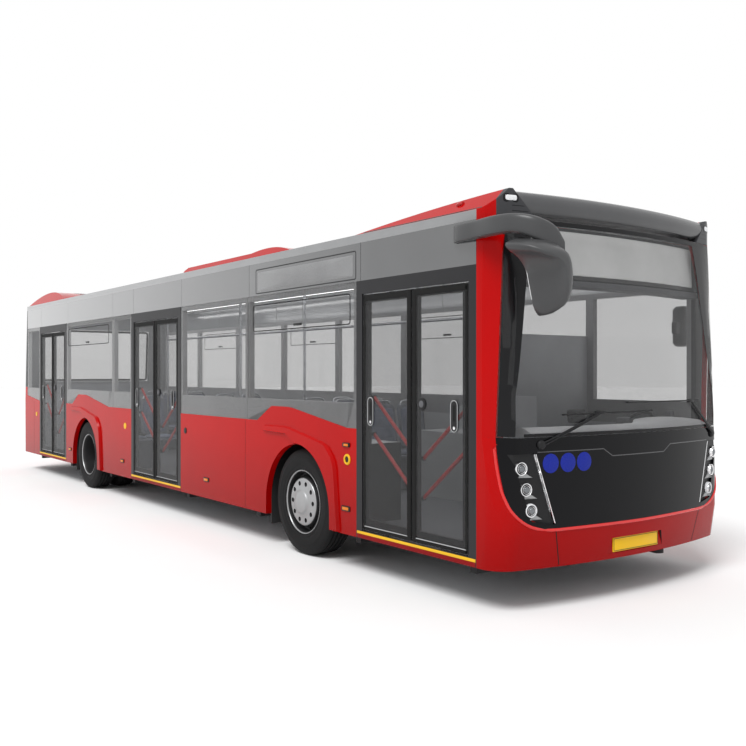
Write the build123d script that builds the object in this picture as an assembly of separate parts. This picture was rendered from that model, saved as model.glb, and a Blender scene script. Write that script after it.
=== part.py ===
import os
from math import atan2, cos, pi, radians, sin, sqrt

from build123d import *

os.makedirs("parts", exist_ok=True)

# overall sizes in mm; x counts forward from the front axle until a piece is saved
WHEELBASE = 5840
FRONT_X = 2740
REAR_OVERHANG = 3410
HALF_W = 1275
WALL_T = 60
GLASS_T = 6
TYRE_R = 480
REAR_X = -WHEELBASE - REAR_OVERHANG
INNER_Y = HALF_W - WALL_T

# heights: each band stands on the one below it
SKIRT_Z = 300
FLOOR_H = 40
FLOOR_T = 30
LOWER_H = 890
HUMP_H = 146
BAND_H = 1210
COVE_H = 312
EDGE_H = 69
CROWN_H = 51
CAP_H = 129
FLOOR_Z = SKIRT_Z + FLOOR_H
BELT_Z = SKIRT_Z + LOWER_H
BAND_TOP_Z = BELT_Z + BAND_H
COVE_TOP_Z = BAND_TOP_Z + COVE_H
ROOF_EDGE_Z = COVE_TOP_Z + EDGE_H
ROOF_TOP_Z = ROOF_EDGE_Z + CROWN_H
CAP_Z = ROOF_EDGE_Z + CAP_H

# the two bowed ends in plan, and how far the side walls stop short of their corners
FRONT_R = 5200
CORNER_R = 195
REAR_R = 9000
REAR_CORNER_R = 180
FRONT_RAKE = 72
REAR_RAKE = 120
CORNER_SPARE = 10
END_DEEP = 800


def end_depth(bow_r, corner_r):
    """Length of a bowed end from its middle to where its corners meet the side walls."""
    return bow_r - sqrt((bow_r - corner_r) ** 2 - (HALF_W - corner_r) ** 2)


SIDE_FRONT_X = FRONT_X - FRONT_RAKE - end_depth(FRONT_R, CORNER_R) - CORNER_SPARE
SIDE_REAR_X = REAR_X + REAR_RAKE + end_depth(REAR_R, REAR_CORNER_R) + CORNER_SPARE
MIRROR_AHEAD = 340
MIRROR_X = FRONT_X + MIRROR_AHEAD
ORIGIN_X = (MIRROR_X + REAR_X) / 2


def save(name, *shapes):
    moved = [Pos(-ORIGIN_X, 0, 0) * solid for shape in shapes for solid in shape.solids()]
    export_step(moved[0] if len(moved) == 1 else Compound(moved), "parts/" + name + ".step")


def box(x0, x1, y0, y1, z0, z1):
    return Pos((x0 + x1) / 2, (y0 + y1) / 2, (z0 + z1) / 2) * Box(abs(x1 - x0), abs(y1 - y0), abs(z1 - z0))


def rod(start, end, radius):
    start, end = Vector(*start), Vector(*end)
    plane = Plane(origin=start, z_dir=end - start)
    return extrude(plane * Circle(radius), amount=(end - start).length)


def rect(x0, x1, z0, z1):
    return Pos((x0 + x1) / 2, (z0 + z1) / 2) * Rectangle(x1 - x0, z1 - z0)


def area(*points):
    return make_face(Polyline(*points, close=True))


def side_plate(face, y_inner, y_outer):
    """Extrudes an x-z face on the right side between two distances from the middle."""
    return extrude(Plane.XZ.offset(y_inner) * face, amount=y_outer - y_inner)


def across(face, half):
    return extrude(Plane.XZ.offset(-half) * face, amount=2 * half)


def along(face, x0, x1):
    """Extrudes a y-z face between two places along the bus."""
    return extrude(Plane.YZ.offset(x0) * face, amount=x1 - x0)


def to_left(shape):
    return mirror(shape, about=Plane.XZ)


def round_corners(face, corners):
    """Rounds the listed (x, z, radius) corners of a face."""
    for x, z, radius in corners:
        vertex = min(face.vertices(), key=lambda v: (v.X - x) ** 2 + (v.Y - z) ** 2)
        face = fillet([vertex], radius)
    return face


# axles: name, place along the bus, how far the belt hump sits ahead of the axle
AXLES = [("front", 0, 0), ("rear", -WHEELBASE, 150)]

# doorways: name, rear edge, front edge
DOOR_OFF_FRONT_AXLE = 905
MIDDLE_DOOR_SHARE = 333 / 584
MIDDLE_DOOR_W = 1520
REAR_DOOR_OFF_AXLE = 915
REAR_DOOR_W = 1400
MIDDLE_DOOR_X = -WHEELBASE * MIDDLE_DOOR_SHARE
REAR_DOOR_X = -WHEELBASE - REAR_DOOR_OFF_AXLE
DOORS = [
    ("front", DOOR_OFF_FRONT_AXLE, SIDE_FRONT_X),
    ("middle", MIDDLE_DOOR_X - MIDDLE_DOOR_W / 2, MIDDLE_DOOR_X + MIDDLE_DOOR_W / 2),
    ("rear", REAR_DOOR_X - REAR_DOOR_W, REAR_DOOR_X),
]
(_, FRONT_A, _), (_, MIDDLE_A, MIDDLE_F), (_, REAR_A, REAR_F) = DOORS

# closed stretches of wall on each side
RIGHT_WALLS = [(SIDE_REAR_X, REAR_A), (REAR_F, MIDDLE_A), (MIDDLE_F, FRONT_A)]
LEFT_WALLS = [(SIDE_REAR_X, SIDE_FRONT_X)]

# wheel arches, their flares as points ahead of the axle and above the arch centre, and the belt line
ARCH_R = TYRE_R + 84
ARCH_Z = TYRE_R - 44
ARCH_SHIFT = -38
FLARE_PROUD = 28
FLARE_SLOPE = 25
FLARE = [(-640, 654), (-610, 719), (-200, 724), (455, 604), (600, 469)]
FLARE_FRONT = 665
FLARE_INSIDE = [(300, 364), (-200, 644)]
FLARE_ROUND = (900, 160, 260)
HUMP = [(-775, 0), (-500, 1), (-160, 1), (760, 0)]
HUMP_ROUND = (110, 700)
HUMP_SINK = 50
HUMP_OVER = 100
BELT_RISE = 80
BELT_LOW_Z = BELT_Z - HUMP_SINK


def hump(axle_x, shift, grow=0):
    x = axle_x + shift
    back, rise, crest, front = [(x + dx, BELT_Z + grow + up * HUMP_H) for dx, up in HUMP]
    back, rise = (back[0] - grow, back[1]), (rise[0] - grow, rise[1])
    foot = [(front[0] + HUMP_OVER, BELT_LOW_Z), (back[0] - HUMP_OVER, BELT_LOW_Z)]
    face = area(back, rise, crest, front, *foot)
    return round_corners(face, [(*rise, HUMP_ROUND[0]), (*crest, HUMP_ROUND[1])])


def belt_rise(grow=0):
    end_x = SIDE_REAR_X - 1
    top = [(REAR_A, BELT_Z + grow), (end_x, BELT_Z + BELT_RISE + grow)]
    return area((end_x, BELT_LOW_Z), (REAR_A, BELT_LOW_Z), *top)


def arch(axle_x):
    x = axle_x + ARCH_SHIFT
    return Pos(x, ARCH_Z) * Circle(ARCH_R) + rect(x - ARCH_R, x + ARCH_R, 0, ARCH_Z)


def flare(axle_x):
    points = [(axle_x + dx, ARCH_Z + dz) for dx, dz in FLARE]
    inside = [(axle_x + dx, ARCH_Z + dz) for dx, dz in FLARE_INSIDE]
    face = area(*points, (axle_x + FLARE_FRONT, SKIRT_Z), (inside[0][0], SKIRT_Z), *inside)
    face = round_corners(face, [(*point, radius) for point, radius in zip(points[2:], FLARE_ROUND)])
    return face - arch(axle_x)


def lower_wall(x0, x1):
    face = rect(x0, x1, SKIRT_Z, BELT_Z)
    raised = []
    for _, axle_x, shift in AXLES:
        if x0 < axle_x < x1:
            face = face + hump(axle_x, shift) - arch(axle_x)
            raised.append(flare(axle_x))
    if x0 == SIDE_REAR_X:
        face = face + (belt_rise() & rect(x0, x1, SKIRT_Z, BAND_TOP_Z))
    wall = side_plate(face, INNER_Y, HALF_W)
    for face in raised:
        wall = wall + extrude(Plane.XZ.offset(HALF_W) * face, amount=FLARE_PROUD, taper=FLARE_SLOPE)
    return wall


# lower side walls
save("lower_wall_right", *[lower_wall(x0, x1) for x0, x1 in RIGHT_WALLS])
save("lower_wall_left", *[to_left(lower_wall(x0, x1)) for x0, x1 in LEFT_WALLS])

# side windows: panes by their ends, and the dark band that carries them
PANE_GAP = 8
PANE_EDGE = 3
OPEN_UP = 210
OPEN_DOWN = 50
PILLAR = 45
NARROW_W = 665
SPLIT_BACK = 1888
CAB_PANE_W = 1105
LEFT_COUNT = 7
NARROW_X = MIDDLE_A - NARROW_W
SPLIT_X = FRONT_A - SPLIT_BACK
CAB_PANE_X = SIDE_FRONT_X - CAB_PANE_W
LEFT_STEP = (CAB_PANE_X - SIDE_REAR_X) / LEFT_COUNT
RIGHT_PANES = [
    (SIDE_REAR_X, REAR_A),
    (REAR_F, NARROW_X),
    (NARROW_X, MIDDLE_A),
    (MIDDLE_F, SPLIT_X),
    (SPLIT_X, FRONT_A),
]
LEFT_PANES = [(SIDE_REAR_X + i * LEFT_STEP, SIDE_REAR_X + (i + 1) * LEFT_STEP) for i in range(LEFT_COUNT)]
LEFT_PANES.append((CAB_PANE_X, SIDE_FRONT_X))


def over_belt(x0, x1, z0, z1, grow=0):
    face = rect(x0, x1, z0, z1) - belt_rise(grow)
    for _, axle_x, shift in AXLES:
        face = face - hump(axle_x, shift, grow)
    return face


def window_band(spans, panes):
    bands = []
    for x0, x1 in spans:
        face = over_belt(x0, x1, BELT_Z, BAND_TOP_Z)
        for p0, p1 in panes:
            if p0 > x0 - 1 and p1 < x1 + 1:
                face = face - rect(p0 + PILLAR, p1 - PILLAR, BELT_Z + OPEN_UP, BAND_TOP_Z - OPEN_DOWN)
        bands.append(side_plate(face, INNER_Y, HALF_W - GLASS_T))
    return bands


def side_glass(panes):
    glass = []
    for p0, p1 in panes:
        x0, x1 = p0 + PANE_GAP / 2, p1 - PANE_GAP / 2
        face = over_belt(x0, x1, BELT_Z + PANE_EDGE, BAND_TOP_Z - PANE_EDGE, PANE_EDGE)
        glass.append(side_plate(face, HALF_W - GLASS_T, HALF_W))
    return glass


left_bands = [to_left(band) for band in window_band(LEFT_WALLS, LEFT_PANES)]
save("window_band", *window_band(RIGHT_WALLS, RIGHT_PANES), *left_bands)
save("side_glass", *side_glass(RIGHT_PANES), *[to_left(glass) for glass in side_glass(LEFT_PANES)])

# cove panels above the windows, split at their seams
COVE_GAP = 5
COVE_T = 40
COVE_SEAMS = [
    SIDE_REAR_X,
    REAR_A + 99,
    REAR_F + 87,
    NARROW_X,
    MIDDLE_A + 79,
    MIDDLE_F + 25,
    SPLIT_X + 44,
    FRONT_A + 60,
    SIDE_FRONT_X,
]
coves = []
for x0, x1 in zip(COVE_SEAMS, COVE_SEAMS[1:]):
    face = rect(x0 + COVE_GAP / 2, x1 - COVE_GAP / 2, BAND_TOP_Z, COVE_TOP_Z)
    panel = side_plate(face, HALF_W - COVE_T, HALF_W)
    coves += [panel, to_left(panel)]
save("cove_panels", *coves)

# roof, a crowned shell with straight side strips
ROOF_T = 50


def roof_section(inset):
    half = HALF_W - inset
    edge_z = ROOF_EDGE_Z - inset
    lines = Polyline((-half, edge_z), (-half, COVE_TOP_Z), (half, COVE_TOP_Z), (half, edge_z))
    crown = ThreePointArc((half, edge_z), (0, ROOF_TOP_Z - inset), (-half, edge_z))
    return make_face(Curve() + [lines, crown])


roof = along(roof_section(0) - roof_section(ROOF_T), SIDE_REAR_X, SIDE_FRONT_X)

# door portals: outer strips, the header over them and the sill below
STRIP_W = 80
STRIP_T = 18
HEADER_DOWN = 70
LIP_DOWN = 110
SILL_UP = 22
HEADER_Z = BAND_TOP_Z - HEADER_DOWN
LIP_Z = BAND_TOP_Z - LIP_DOWN
SILL_Z = FLOOR_Z + SILL_UP
portals = []
for _, x0, x1 in DOORS:
    ring = rect(x0, x1, SKIRT_Z, BAND_TOP_Z) - rect(x0 + STRIP_W, x1 - STRIP_W, SILL_Z, LIP_Z)
    header = box(x0, x1, STRIP_T - HALF_W, -INNER_Y, HEADER_Z, BAND_TOP_Z)
    portals.append(side_plate(ring, HALF_W - STRIP_T, HALF_W) + header)
save("door_portals", *portals)

# door leaves: each turns on the end of an arm that turns on a post beside the doorway
POST_IN = 55
POST_R = 20
POST_DEEP = 45
LEAF_GAP = 35
MEET_GAP = 5
LEAF_T = 34
LEAF_SIDE = 62
LEAF_FOOT = 90
LEAF_CLEAR = 7
ARM_W = 36
ARM_T = 18
PIN_R = 10
PIN_CLEAR = 0.3
PIN_LONG = 30
SEAT_CLEAR = 0.3
BOSS_W = 60
BOSS_OUT = 28
BOSS_H = 45
RAIL_R = 13
RAIL_IN = 45
RAIL_FOOT = 15
RAILS = [(360, 810), (660, 1110)]
POST_Y = POST_DEEP - HALF_W
ARM_Z = [FLOOR_Z + LEAF_CLEAR, LIP_Z]
LEAF_Z0 = FLOOR_Z + LEAF_CLEAR + ARM_T + LEAF_CLEAR
LEAF_Z1 = LIP_Z - LEAF_CLEAR

for name, x0, x1 in DOORS:
    arm_long = (x1 - x0) / 4 - POST_IN / 2 - MEET_GAP / 2 + LEAF_GAP / 2
    for end, post_x, way in (("aft", x0 + POST_IN, 1), ("fore", x1 - POST_IN, -1)):
        pivot_x = post_x + way * arm_long
        half = arm_long - LEAF_GAP
        # post with two arms and their pins
        arm = rod((post_x, POST_Y, FLOOR_Z + SEAT_CLEAR), (post_x, POST_Y, HEADER_Z - SEAT_CLEAR), POST_R)
        for z in ARM_Z:
            arm = arm + box(post_x, pivot_x, POST_Y - ARM_W / 2, POST_Y + ARM_W / 2, z, z + ARM_T)
            arm = arm + rod((pivot_x, POST_Y, z), (pivot_x, POST_Y, z + ARM_T), ARM_W / 2)
        arm = arm + rod((pivot_x, POST_Y, ARM_Z[0]), (pivot_x, POST_Y, LEAF_Z0 + PIN_LONG), PIN_R)
        arm = arm + rod((pivot_x, POST_Y, LEAF_Z1 - PIN_LONG), (pivot_x, POST_Y, ARM_Z[1] + ARM_T), PIN_R)
        save("door_" + name + "_" + end + "_arm", arm)
        # leaf frame with its bearing bosses and slanting handrails
        pane = rect(pivot_x - half, pivot_x + half, LEAF_Z0, LEAF_Z1)
        side = half - LEAF_SIDE
        ring = pane - rect(pivot_x - side, pivot_x + side, LEAF_Z0 + LEAF_FOOT, LEAF_Z1 - LEAF_SIDE)
        leaf = side_plate(ring, -POST_Y, -POST_Y + LEAF_T)
        for z in (LEAF_Z0, LEAF_Z1 - BOSS_H):
            x = pivot_x
            leaf = leaf + box(x - BOSS_W / 2, x + BOSS_W / 2, POST_Y - LEAF_T, POST_Y + BOSS_OUT, z, z + BOSS_H)
            leaf = leaf - rod((x, POST_Y, z - 1), (x, POST_Y, z + BOSS_H + 1), PIN_R + PIN_CLEAR)
        rail_x = half - LEAF_SIDE / 2
        for low, high in RAILS:
            start = (pivot_x + way * rail_x, POST_Y + RAIL_IN, FLOOR_Z + low)
            stop = (pivot_x - way * rail_x, POST_Y + RAIL_IN, FLOOR_Z + high)
            leaf = leaf + rod(start, stop, RAIL_R)
            for x, y, z in (start, stop):
                leaf = leaf + box(x - RAIL_FOOT, x + RAIL_FOOT, POST_Y - 5, y + RAIL_FOOT, z - RAIL_FOOT, z + RAIL_FOOT)
        save("door_" + name + "_" + end + "_leaf", leaf)
        glass = side_plate(pane, -POST_Y + LEAF_T, -POST_Y + LEAF_T + GLASS_T)
        save("door_" + name + "_" + end + "_glass", glass)

# wheels across the bus, inner and outer face of each tyre on the left
TYRE_W = 275
FRONT_TYRE_IN = 30
REAR_TYRE_IN = 25
TWIN_GAP = 60
FRONT_Y1 = HALF_W - FRONT_TYRE_IN
FRONT_Y0 = FRONT_Y1 - TYRE_W
REAR_Y1 = HALF_W - REAR_TYRE_IN
REAR_Y0 = REAR_Y1 - TYRE_W
TWIN_Y1 = REAR_Y0 - TWIN_GAP
TWIN_Y0 = TWIN_Y1 - TYRE_W

# wheel housings, open below and outwards, each with a mudflap behind its wheel
HOUSE_SPARE = 36
HOUSE_IN = 40
HOUSE_T = 15
FLAP_W = 330
FLAP_Z = 200
HOUSE_X = ARCH_R + HOUSE_SPARE
HOUSE_Y = TWIN_Y0 - HOUSE_IN
HOUSE_TOP_Z = ARCH_Z + ARCH_R + HOUSE_T
UNDER_Z = FLOOR_Z - FLOOR_T
houses = []
for _, axle_x, _ in AXLES:
    x0, x1 = axle_x - HOUSE_X, axle_x + HOUSE_X
    house = box(x0 - HOUSE_T, x1 + HOUSE_T, -INNER_Y, HOUSE_T - HOUSE_Y, UNDER_Z, HOUSE_TOP_Z + HOUSE_T)
    house = house - box(x0, x1, -INNER_Y - 1, -HOUSE_Y, UNDER_Z - 1, HOUSE_TOP_Z)
    house = house + box(x0 - HOUSE_T, x0, -INNER_Y, FLAP_W - INNER_Y, FLAP_Z, FLOOR_Z)
    houses += [house, to_left(house)]
save("wheel_housings", *houses)

# front end: one leaning shell, split in side view into fascia, mask and windscreen
FASCIA_T = 60
MASK_T = 25
SCREEN_T = 8
SCREEN_UP = 15
MASK_UP = 270
BUMPER_UP = 260
FRONT_TUCK = 40
BROW_SET = 5
SCREEN_Z0 = BELT_Z + SCREEN_UP
MASK_Z0 = SKIRT_Z + MASK_UP
FRONT_LEVELS = [
    (SKIRT_Z, FRONT_TUCK),
    (SKIRT_Z + BUMPER_UP, 0),
    (SCREEN_Z0, BROW_SET),
    (COVE_TOP_Z, FRONT_RAKE),
]
REAR_TUCK = 15
REAR_LEVELS = [(SKIRT_Z, REAR_TUCK), (BELT_Z, 0), (COVE_TOP_Z, REAR_RAKE)]

# flat facet of the front pillars: crease ahead of the side walls, its turn, and how it fades out below
FACET_AHEAD = 55
FACET_TURN = radians(32)
FACET_FADE = radians(5)
FACET_BACK = 200
FACET_LONG = 600
FACET_OUT = 400


def bowed_plan(end_x, bow_r, corner_r, inset, deep, way):
    """Plan outline of a bowed end with round corners; way is 1 at the front and -1 at the rear."""
    half = HALF_W - inset
    bow = bow_r - inset
    turn = corner_r - inset
    bow_x = way * end_x - bow_r
    back_x = way * end_x - deep
    turn_y = HALF_W - corner_r
    turn_x = bow_x + sqrt((bow_r - corner_r) ** 2 - turn_y**2)
    meet = atan2(turn_y, turn_x - bow_x)
    middle = (meet + pi / 2) / 2
    meet_x, meet_y = bow_x + bow * cos(meet), bow * sin(meet)
    mid_x, mid_y = turn_x + turn * cos(middle), turn_y + turn * sin(middle)
    edges = [
        Line((back_x, half), (back_x, -half)),
        Line((back_x, -half), (turn_x, -half)),
        ThreePointArc((turn_x, -half), (mid_x, -mid_y), (meet_x, -meet_y)),
        ThreePointArc((meet_x, -meet_y), (bow_x + bow, 0), (meet_x, meet_y)),
        ThreePointArc((meet_x, meet_y), (mid_x, mid_y), (turn_x, half)),
        Line((turn_x, half), (back_x, half)),
    ]
    face = Face(Wire(edges))
    return face if way > 0 else face.mirror(Plane.YZ)


def leaning(face, levels, extra):
    """Carries a plan outline up through (height, setback) levels, reaching extra beyond both ends."""
    solid = None
    last = len(levels) - 2
    for i, ((z0, set0), (z1, set1)) in enumerate(zip(levels, levels[1:])):
        lean = Vector(set0 - set1, 0, z1 - z0)
        start = Vector(-set0, 0, z0)
        long = lean
        if i == 0:
            start = start - lean * (extra / lean.Z)
            long = long + lean * (extra / lean.Z)
        if i == last:
            long = long + lean * (extra / lean.Z)
        piece = extrude(Pos(*start) * face, amount=long.length, dir=long)
        solid = piece if solid is None else solid + piece
    return solid


def facet_cut(inset):
    """What lies outside the flat pillar facets on both sides."""
    out = Vector(sin(FACET_TURN), -cos(FACET_TURN), 0)
    forward = Vector(cos(FACET_TURN), sin(FACET_TURN), 0)
    up = Vector(0, 0, 1)
    origin = Vector(SIDE_FRONT_X + FACET_AHEAD, -HALF_W, SCREEN_Z0) - out * inset
    upper = Plane(origin=origin, x_dir=forward, z_dir=out)
    lower = Plane(origin=origin, x_dir=forward, z_dir=out * cos(FACET_FADE) + up * sin(FACET_FADE))
    cut = extrude(upper * rect(-FACET_BACK, FACET_LONG, 0, CAP_Z), amount=FACET_OUT)
    cut = cut + extrude(lower * rect(-FACET_BACK, FACET_LONG, -SCREEN_Z0, 0), amount=FACET_OUT)
    return [cut, to_left(cut)]


def front_solid(inset, back_x, extra=0):
    face = bowed_plan(FRONT_X, FRONT_R, CORNER_R, inset, END_DEEP, 1)
    solid = leaning(face, FRONT_LEVELS, extra)
    solid = solid & box(back_x, FRONT_X + 100, -HALF_W - 100, HALF_W + 100, 0, CAP_Z)
    for cut in facet_cut(inset):
        solid = solid - cut
    return solid


def front_at(y, z):
    """Place of the front surface at a distance from the middle and a height."""
    turn_y = HALF_W - CORNER_R
    deep = end_depth(FRONT_R, CORNER_R)
    bow = FRONT_R - sqrt(FRONT_R**2 - y**2)
    if y > turn_y + CORNER_R * turn_y / (FRONT_R - CORNER_R) - 0.01:
        bow = deep - sqrt(CORNER_R**2 - (y - turn_y) ** 2)
    for (z0, set0), (z1, set1) in zip(FRONT_LEVELS, FRONT_LEVELS[1:]):
        if z <= z1:
            break
    return FRONT_X - set0 - (set1 - set0) * (z - z0) / (z1 - z0) - bow


# edges of screen and mask in side view, ahead of the side walls
SCREEN_EDGE = [(136, 0), (184, 1)]
MASK_EDGE = [(136, 0), (195, 0.5), (303, 1)]
FAR_X = FRONT_X + 300
edge = [(SIDE_FRONT_X + dx, SCREEN_Z0 + up * (COVE_TOP_Z - SCREEN_Z0)) for dx, up in SCREEN_EDGE]
screen_area = across(area(edge[0], (FAR_X, SCREEN_Z0), (FAR_X, CAP_Z), (edge[1][0], CAP_Z), edge[1]), HALF_W + 100)
edge = [(SIDE_FRONT_X + dx, SCREEN_Z0 - down * (SCREEN_Z0 - MASK_Z0)) for dx, down in MASK_EDGE]
mask_lines = Curve() + [
    ThreePointArc(*edge),
    Polyline(edge[2], (FAR_X, MASK_Z0), (FAR_X, SCREEN_Z0), edge[0]),
]
mask_area = across(make_face(mask_lines), HALF_W + 100)
outer = front_solid(0, SIDE_FRONT_X)
BEHIND_X = SIDE_FRONT_X - 50
fascia = outer - front_solid(FASCIA_T, BEHIND_X, 10) - screen_area - mask_area
mask = (outer - front_solid(MASK_T, BEHIND_X, 10)) & mask_area
screen = (outer - front_solid(SCREEN_T, BEHIND_X, 10)) & screen_area

# recess for the number plate in the bumper
PLATE_HALF = 320
PLATE_UP = 40
PLATE_H = 115
PLATE_DEEP = 45
plate_z = SKIRT_Z + PLATE_UP
recess = area(
    (-PLATE_HALF, plate_z),
    (PLATE_HALF, plate_z),
    (PLATE_HALF - 35, plate_z + PLATE_H),
    (35 - PLATE_HALF, plate_z + PLATE_H),
)
fascia = fascia - along(recess, FRONT_X - PLATE_DEEP, FAR_X)

# lamp units: slanting pockets through mask and rear wall, each with a flat housing and round lamps
# corners and lamps as distances in from the side and heights above the skirt
FRONT_UNIT = [(85, 794), (241, 334), (431, 303), (269, 800)]
FRONT_LAMPS = [(162, 698), (200, 554), (241, 409)]
REAR_UNIT = [(175, 870), (175, 260), (345, 260), (345, 870)]
REAR_LAMPS = [(260, 340), (260, 490), (260, 640), (260, 790)]
FRONT_LAMP_R = 40
REAR_LAMP_R = 52
LAMP_OUT = 12
UNIT_SET = 18
FIT = 2
UNIT_T = 35


def outline(corners):
    return area(*[(HALF_W - inside, SKIRT_Z + up) for inside, up in corners])


def lamp_unit(corners, lamps, lamp_r, way, inside, x0, y0, x1, y1):
    """Housing on the left whose flat face runs through two points in plan, kept inside a shell."""
    slope = (x1 - x0) / (y1 - y0)
    low, high = HALF_W - 500, HALF_W
    front = [(x0 + slope * (y - y0), y) for y in (low, high)]
    back = [(x - way * UNIT_T, y) for x, y in front]
    slab = extrude(area(front[0], front[1], back[1], back[0]), amount=CAP_Z)
    unit = along(outline(corners), min(x0, x1) - 400, max(x0, x1) + 400) & slab & inside
    out = Vector(1, -slope, 0).normalized() * way
    for off, up in lamps:
        y = HALF_W - off
        centre = Vector(x0 + slope * (y - y0), y, SKIRT_Z + up)
        unit = unit + rod(centre - out * 5, centre + out * LAMP_OUT, lamp_r)
    return unit


def unit_face(corners, surface):
    """Two plan points of a housing's flat face, set in from the surface at its inner and outer edge."""
    z = SKIRT_Z + sum(up for _, up in corners) / 4
    y_out = HALF_W - (corners[0][0] + corners[1][0]) / 2
    y_in = HALF_W - (corners[2][0] + corners[3][0]) / 2
    return surface(y_in, z), y_in, surface(y_out, z), y_out


x0, y0, x1, y1 = unit_face(FRONT_UNIT, front_at)
inside = front_solid(FIT, SIDE_FRONT_X)
front_unit = lamp_unit(FRONT_UNIT, FRONT_LAMPS, FRONT_LAMP_R, 1, inside, x0 - UNIT_SET, y0, x1 - UNIT_SET, y1)
pocket = along(outline(FRONT_UNIT), FRONT_X - 400, FAR_X)
mask = mask - pocket - to_left(pocket)
mask = mask - front_unit - to_left(front_unit)
fascia = fascia - front_unit - to_left(front_unit)
lamps = [front_unit, to_left(front_unit)]
save("front_fascia", fascia)
save("front_mask", mask)
save("windscreen", screen)

# roof cap over the front: red fairing with sloping sides, and the dark visor set into its front
CAP_LONG = 1465
CAP_SLOPE = 125
CAP_BACK = 220
CAP_SWELL = 85
VISOR_IN = 340
VISOR_DEEP = 75
CAP_A = SIDE_FRONT_X - CAP_LONG
CAP_F = FRONT_X - CAP_BACK
cap_arc = ThreePointArc((CAP_F, CAP_Z), ((CAP_A + CAP_F) / 2, ROOF_EDGE_Z + CAP_SWELL), (CAP_A, ROOF_EDGE_Z))
cap_lines = Polyline(
    (CAP_A, ROOF_EDGE_Z),
    (CAP_A, COVE_TOP_Z),
    (FAR_X, COVE_TOP_Z),
    (FAR_X, CAP_Z),
    (CAP_F, CAP_Z),
)
half, inner = HALF_W, HALF_W - CAP_SLOPE
cap_section = area(
    (half, COVE_TOP_Z),
    (half, ROOF_EDGE_Z),
    (inner, CAP_Z),
    (inner, CAP_Z + 200),
    (-inner, CAP_Z + 200),
    (-inner, CAP_Z),
    (-half, ROOF_EDGE_Z),
    (-half, COVE_TOP_Z),
)
cap_plan = bowed_plan(FRONT_X - FRONT_RAKE, FRONT_R, CORNER_R, 0, FRONT_X - FRONT_RAKE - CAP_A, 1)
cap = across(make_face(Curve() + [cap_lines, cap_arc]), HALF_W + 100)
cap = cap & extrude(Pos(0, 0, COVE_TOP_Z) * cap_plan, amount=600) & along(cap_section, CAP_A, FAR_X)
for cut in facet_cut(0):
    cap = cap - cut
hollow = along(roof_section(0), CAP_A - 10, SIDE_FRONT_X)
visor_face = area(
    (VISOR_IN - half, COVE_TOP_Z),
    (half - VISOR_IN, COVE_TOP_Z),
    (inner, CAP_Z + 30),
    (-inner, CAP_Z + 30),
)
visor = cap & along(visor_face, SIDE_FRONT_X + VISOR_DEEP, FAR_X)
save("roof_fairing", cap - hollow - visor)
save("roof_visor", visor)


def rear_solid(inset, front_x, extra=0):
    face = bowed_plan(REAR_X, REAR_R, REAR_CORNER_R, inset, END_DEEP, -1)
    rings = []
    for (z, back), reach in zip(REAR_LEVELS, (-extra, 0, extra)):
        rings.append((Pos(back, 0, z + reach) * face).outer_wire())
    solid = Part() + Solid.make_loft(rings, ruled=True)
    return solid & box(REAR_X - 100, front_x, -HALF_W - 100, HALF_W + 100, 0, CAP_Z)


def rear_at(y, z):
    lean = max(0, z - BELT_Z) / (COVE_TOP_Z - BELT_Z) * REAR_RAKE
    return REAR_X + lean + REAR_R - sqrt(REAR_R**2 - y**2)


# rear end: a wall with a window, and an opening for the engine lid
LID_T = 15
LID_IN = 425
LID_UP = 180
LID_OVER = 100
LID_GAP = 6
HINGE_GAP = 12
LID_TOP_GAP = 22
REAR_GLASS_IN = 295
REAR_GLASS_UP = 310
REAR_GLASS_DOWN = 292
LID_HALF = HALF_W - LID_IN
LID_Z0 = SKIRT_Z + LID_UP
LID_Z1 = BELT_Z + LID_OVER
GLASS_HALF = HALF_W - REAR_GLASS_IN
rear_outer = rear_solid(0, SIDE_REAR_X)
BEHIND_X = SIDE_REAR_X + 50
lid_hole = box(REAR_X - 100, SIDE_REAR_X, -LID_HALF, LID_HALF, LID_Z0, LID_Z1)
glass_z = (BELT_Z + REAR_GLASS_UP, COVE_TOP_Z - REAR_GLASS_DOWN)
glass_hole = box(REAR_X - 100, SIDE_REAR_X, -GLASS_HALF, GLASS_HALF, *glass_z)
rear = rear_outer - rear_solid(WALL_T, BEHIND_X, 10) - lid_hole - glass_hole
rear_glass = (rear_outer - rear_solid(GLASS_T + 2, BEHIND_X, 10)) & glass_hole
lid_y = LID_HALF - LID_GAP
lid_space = box(REAR_X - 100, SIDE_REAR_X, -lid_y, lid_y, LID_Z0 + LID_GAP, LID_Z1 - LID_TOP_GAP)
lid = (rear_outer - rear_solid(LID_T, BEHIND_X, 10)) & lid_space

# rear lamp units in pockets beside the lid
x0, y0, x1, y1 = unit_face(REAR_UNIT, rear_at)
inside = rear_solid(FIT, SIDE_REAR_X)
rear_unit = lamp_unit(REAR_UNIT, REAR_LAMPS, REAR_LAMP_R, -1, inside, x0 + UNIT_SET, y0, x1 + UNIT_SET, y1)
pocket = along(outline(REAR_UNIT), REAR_X - 100, SIDE_REAR_X)
rear = rear - pocket - to_left(pocket)
lamps += [rear_unit, to_left(rear_unit)]

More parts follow.
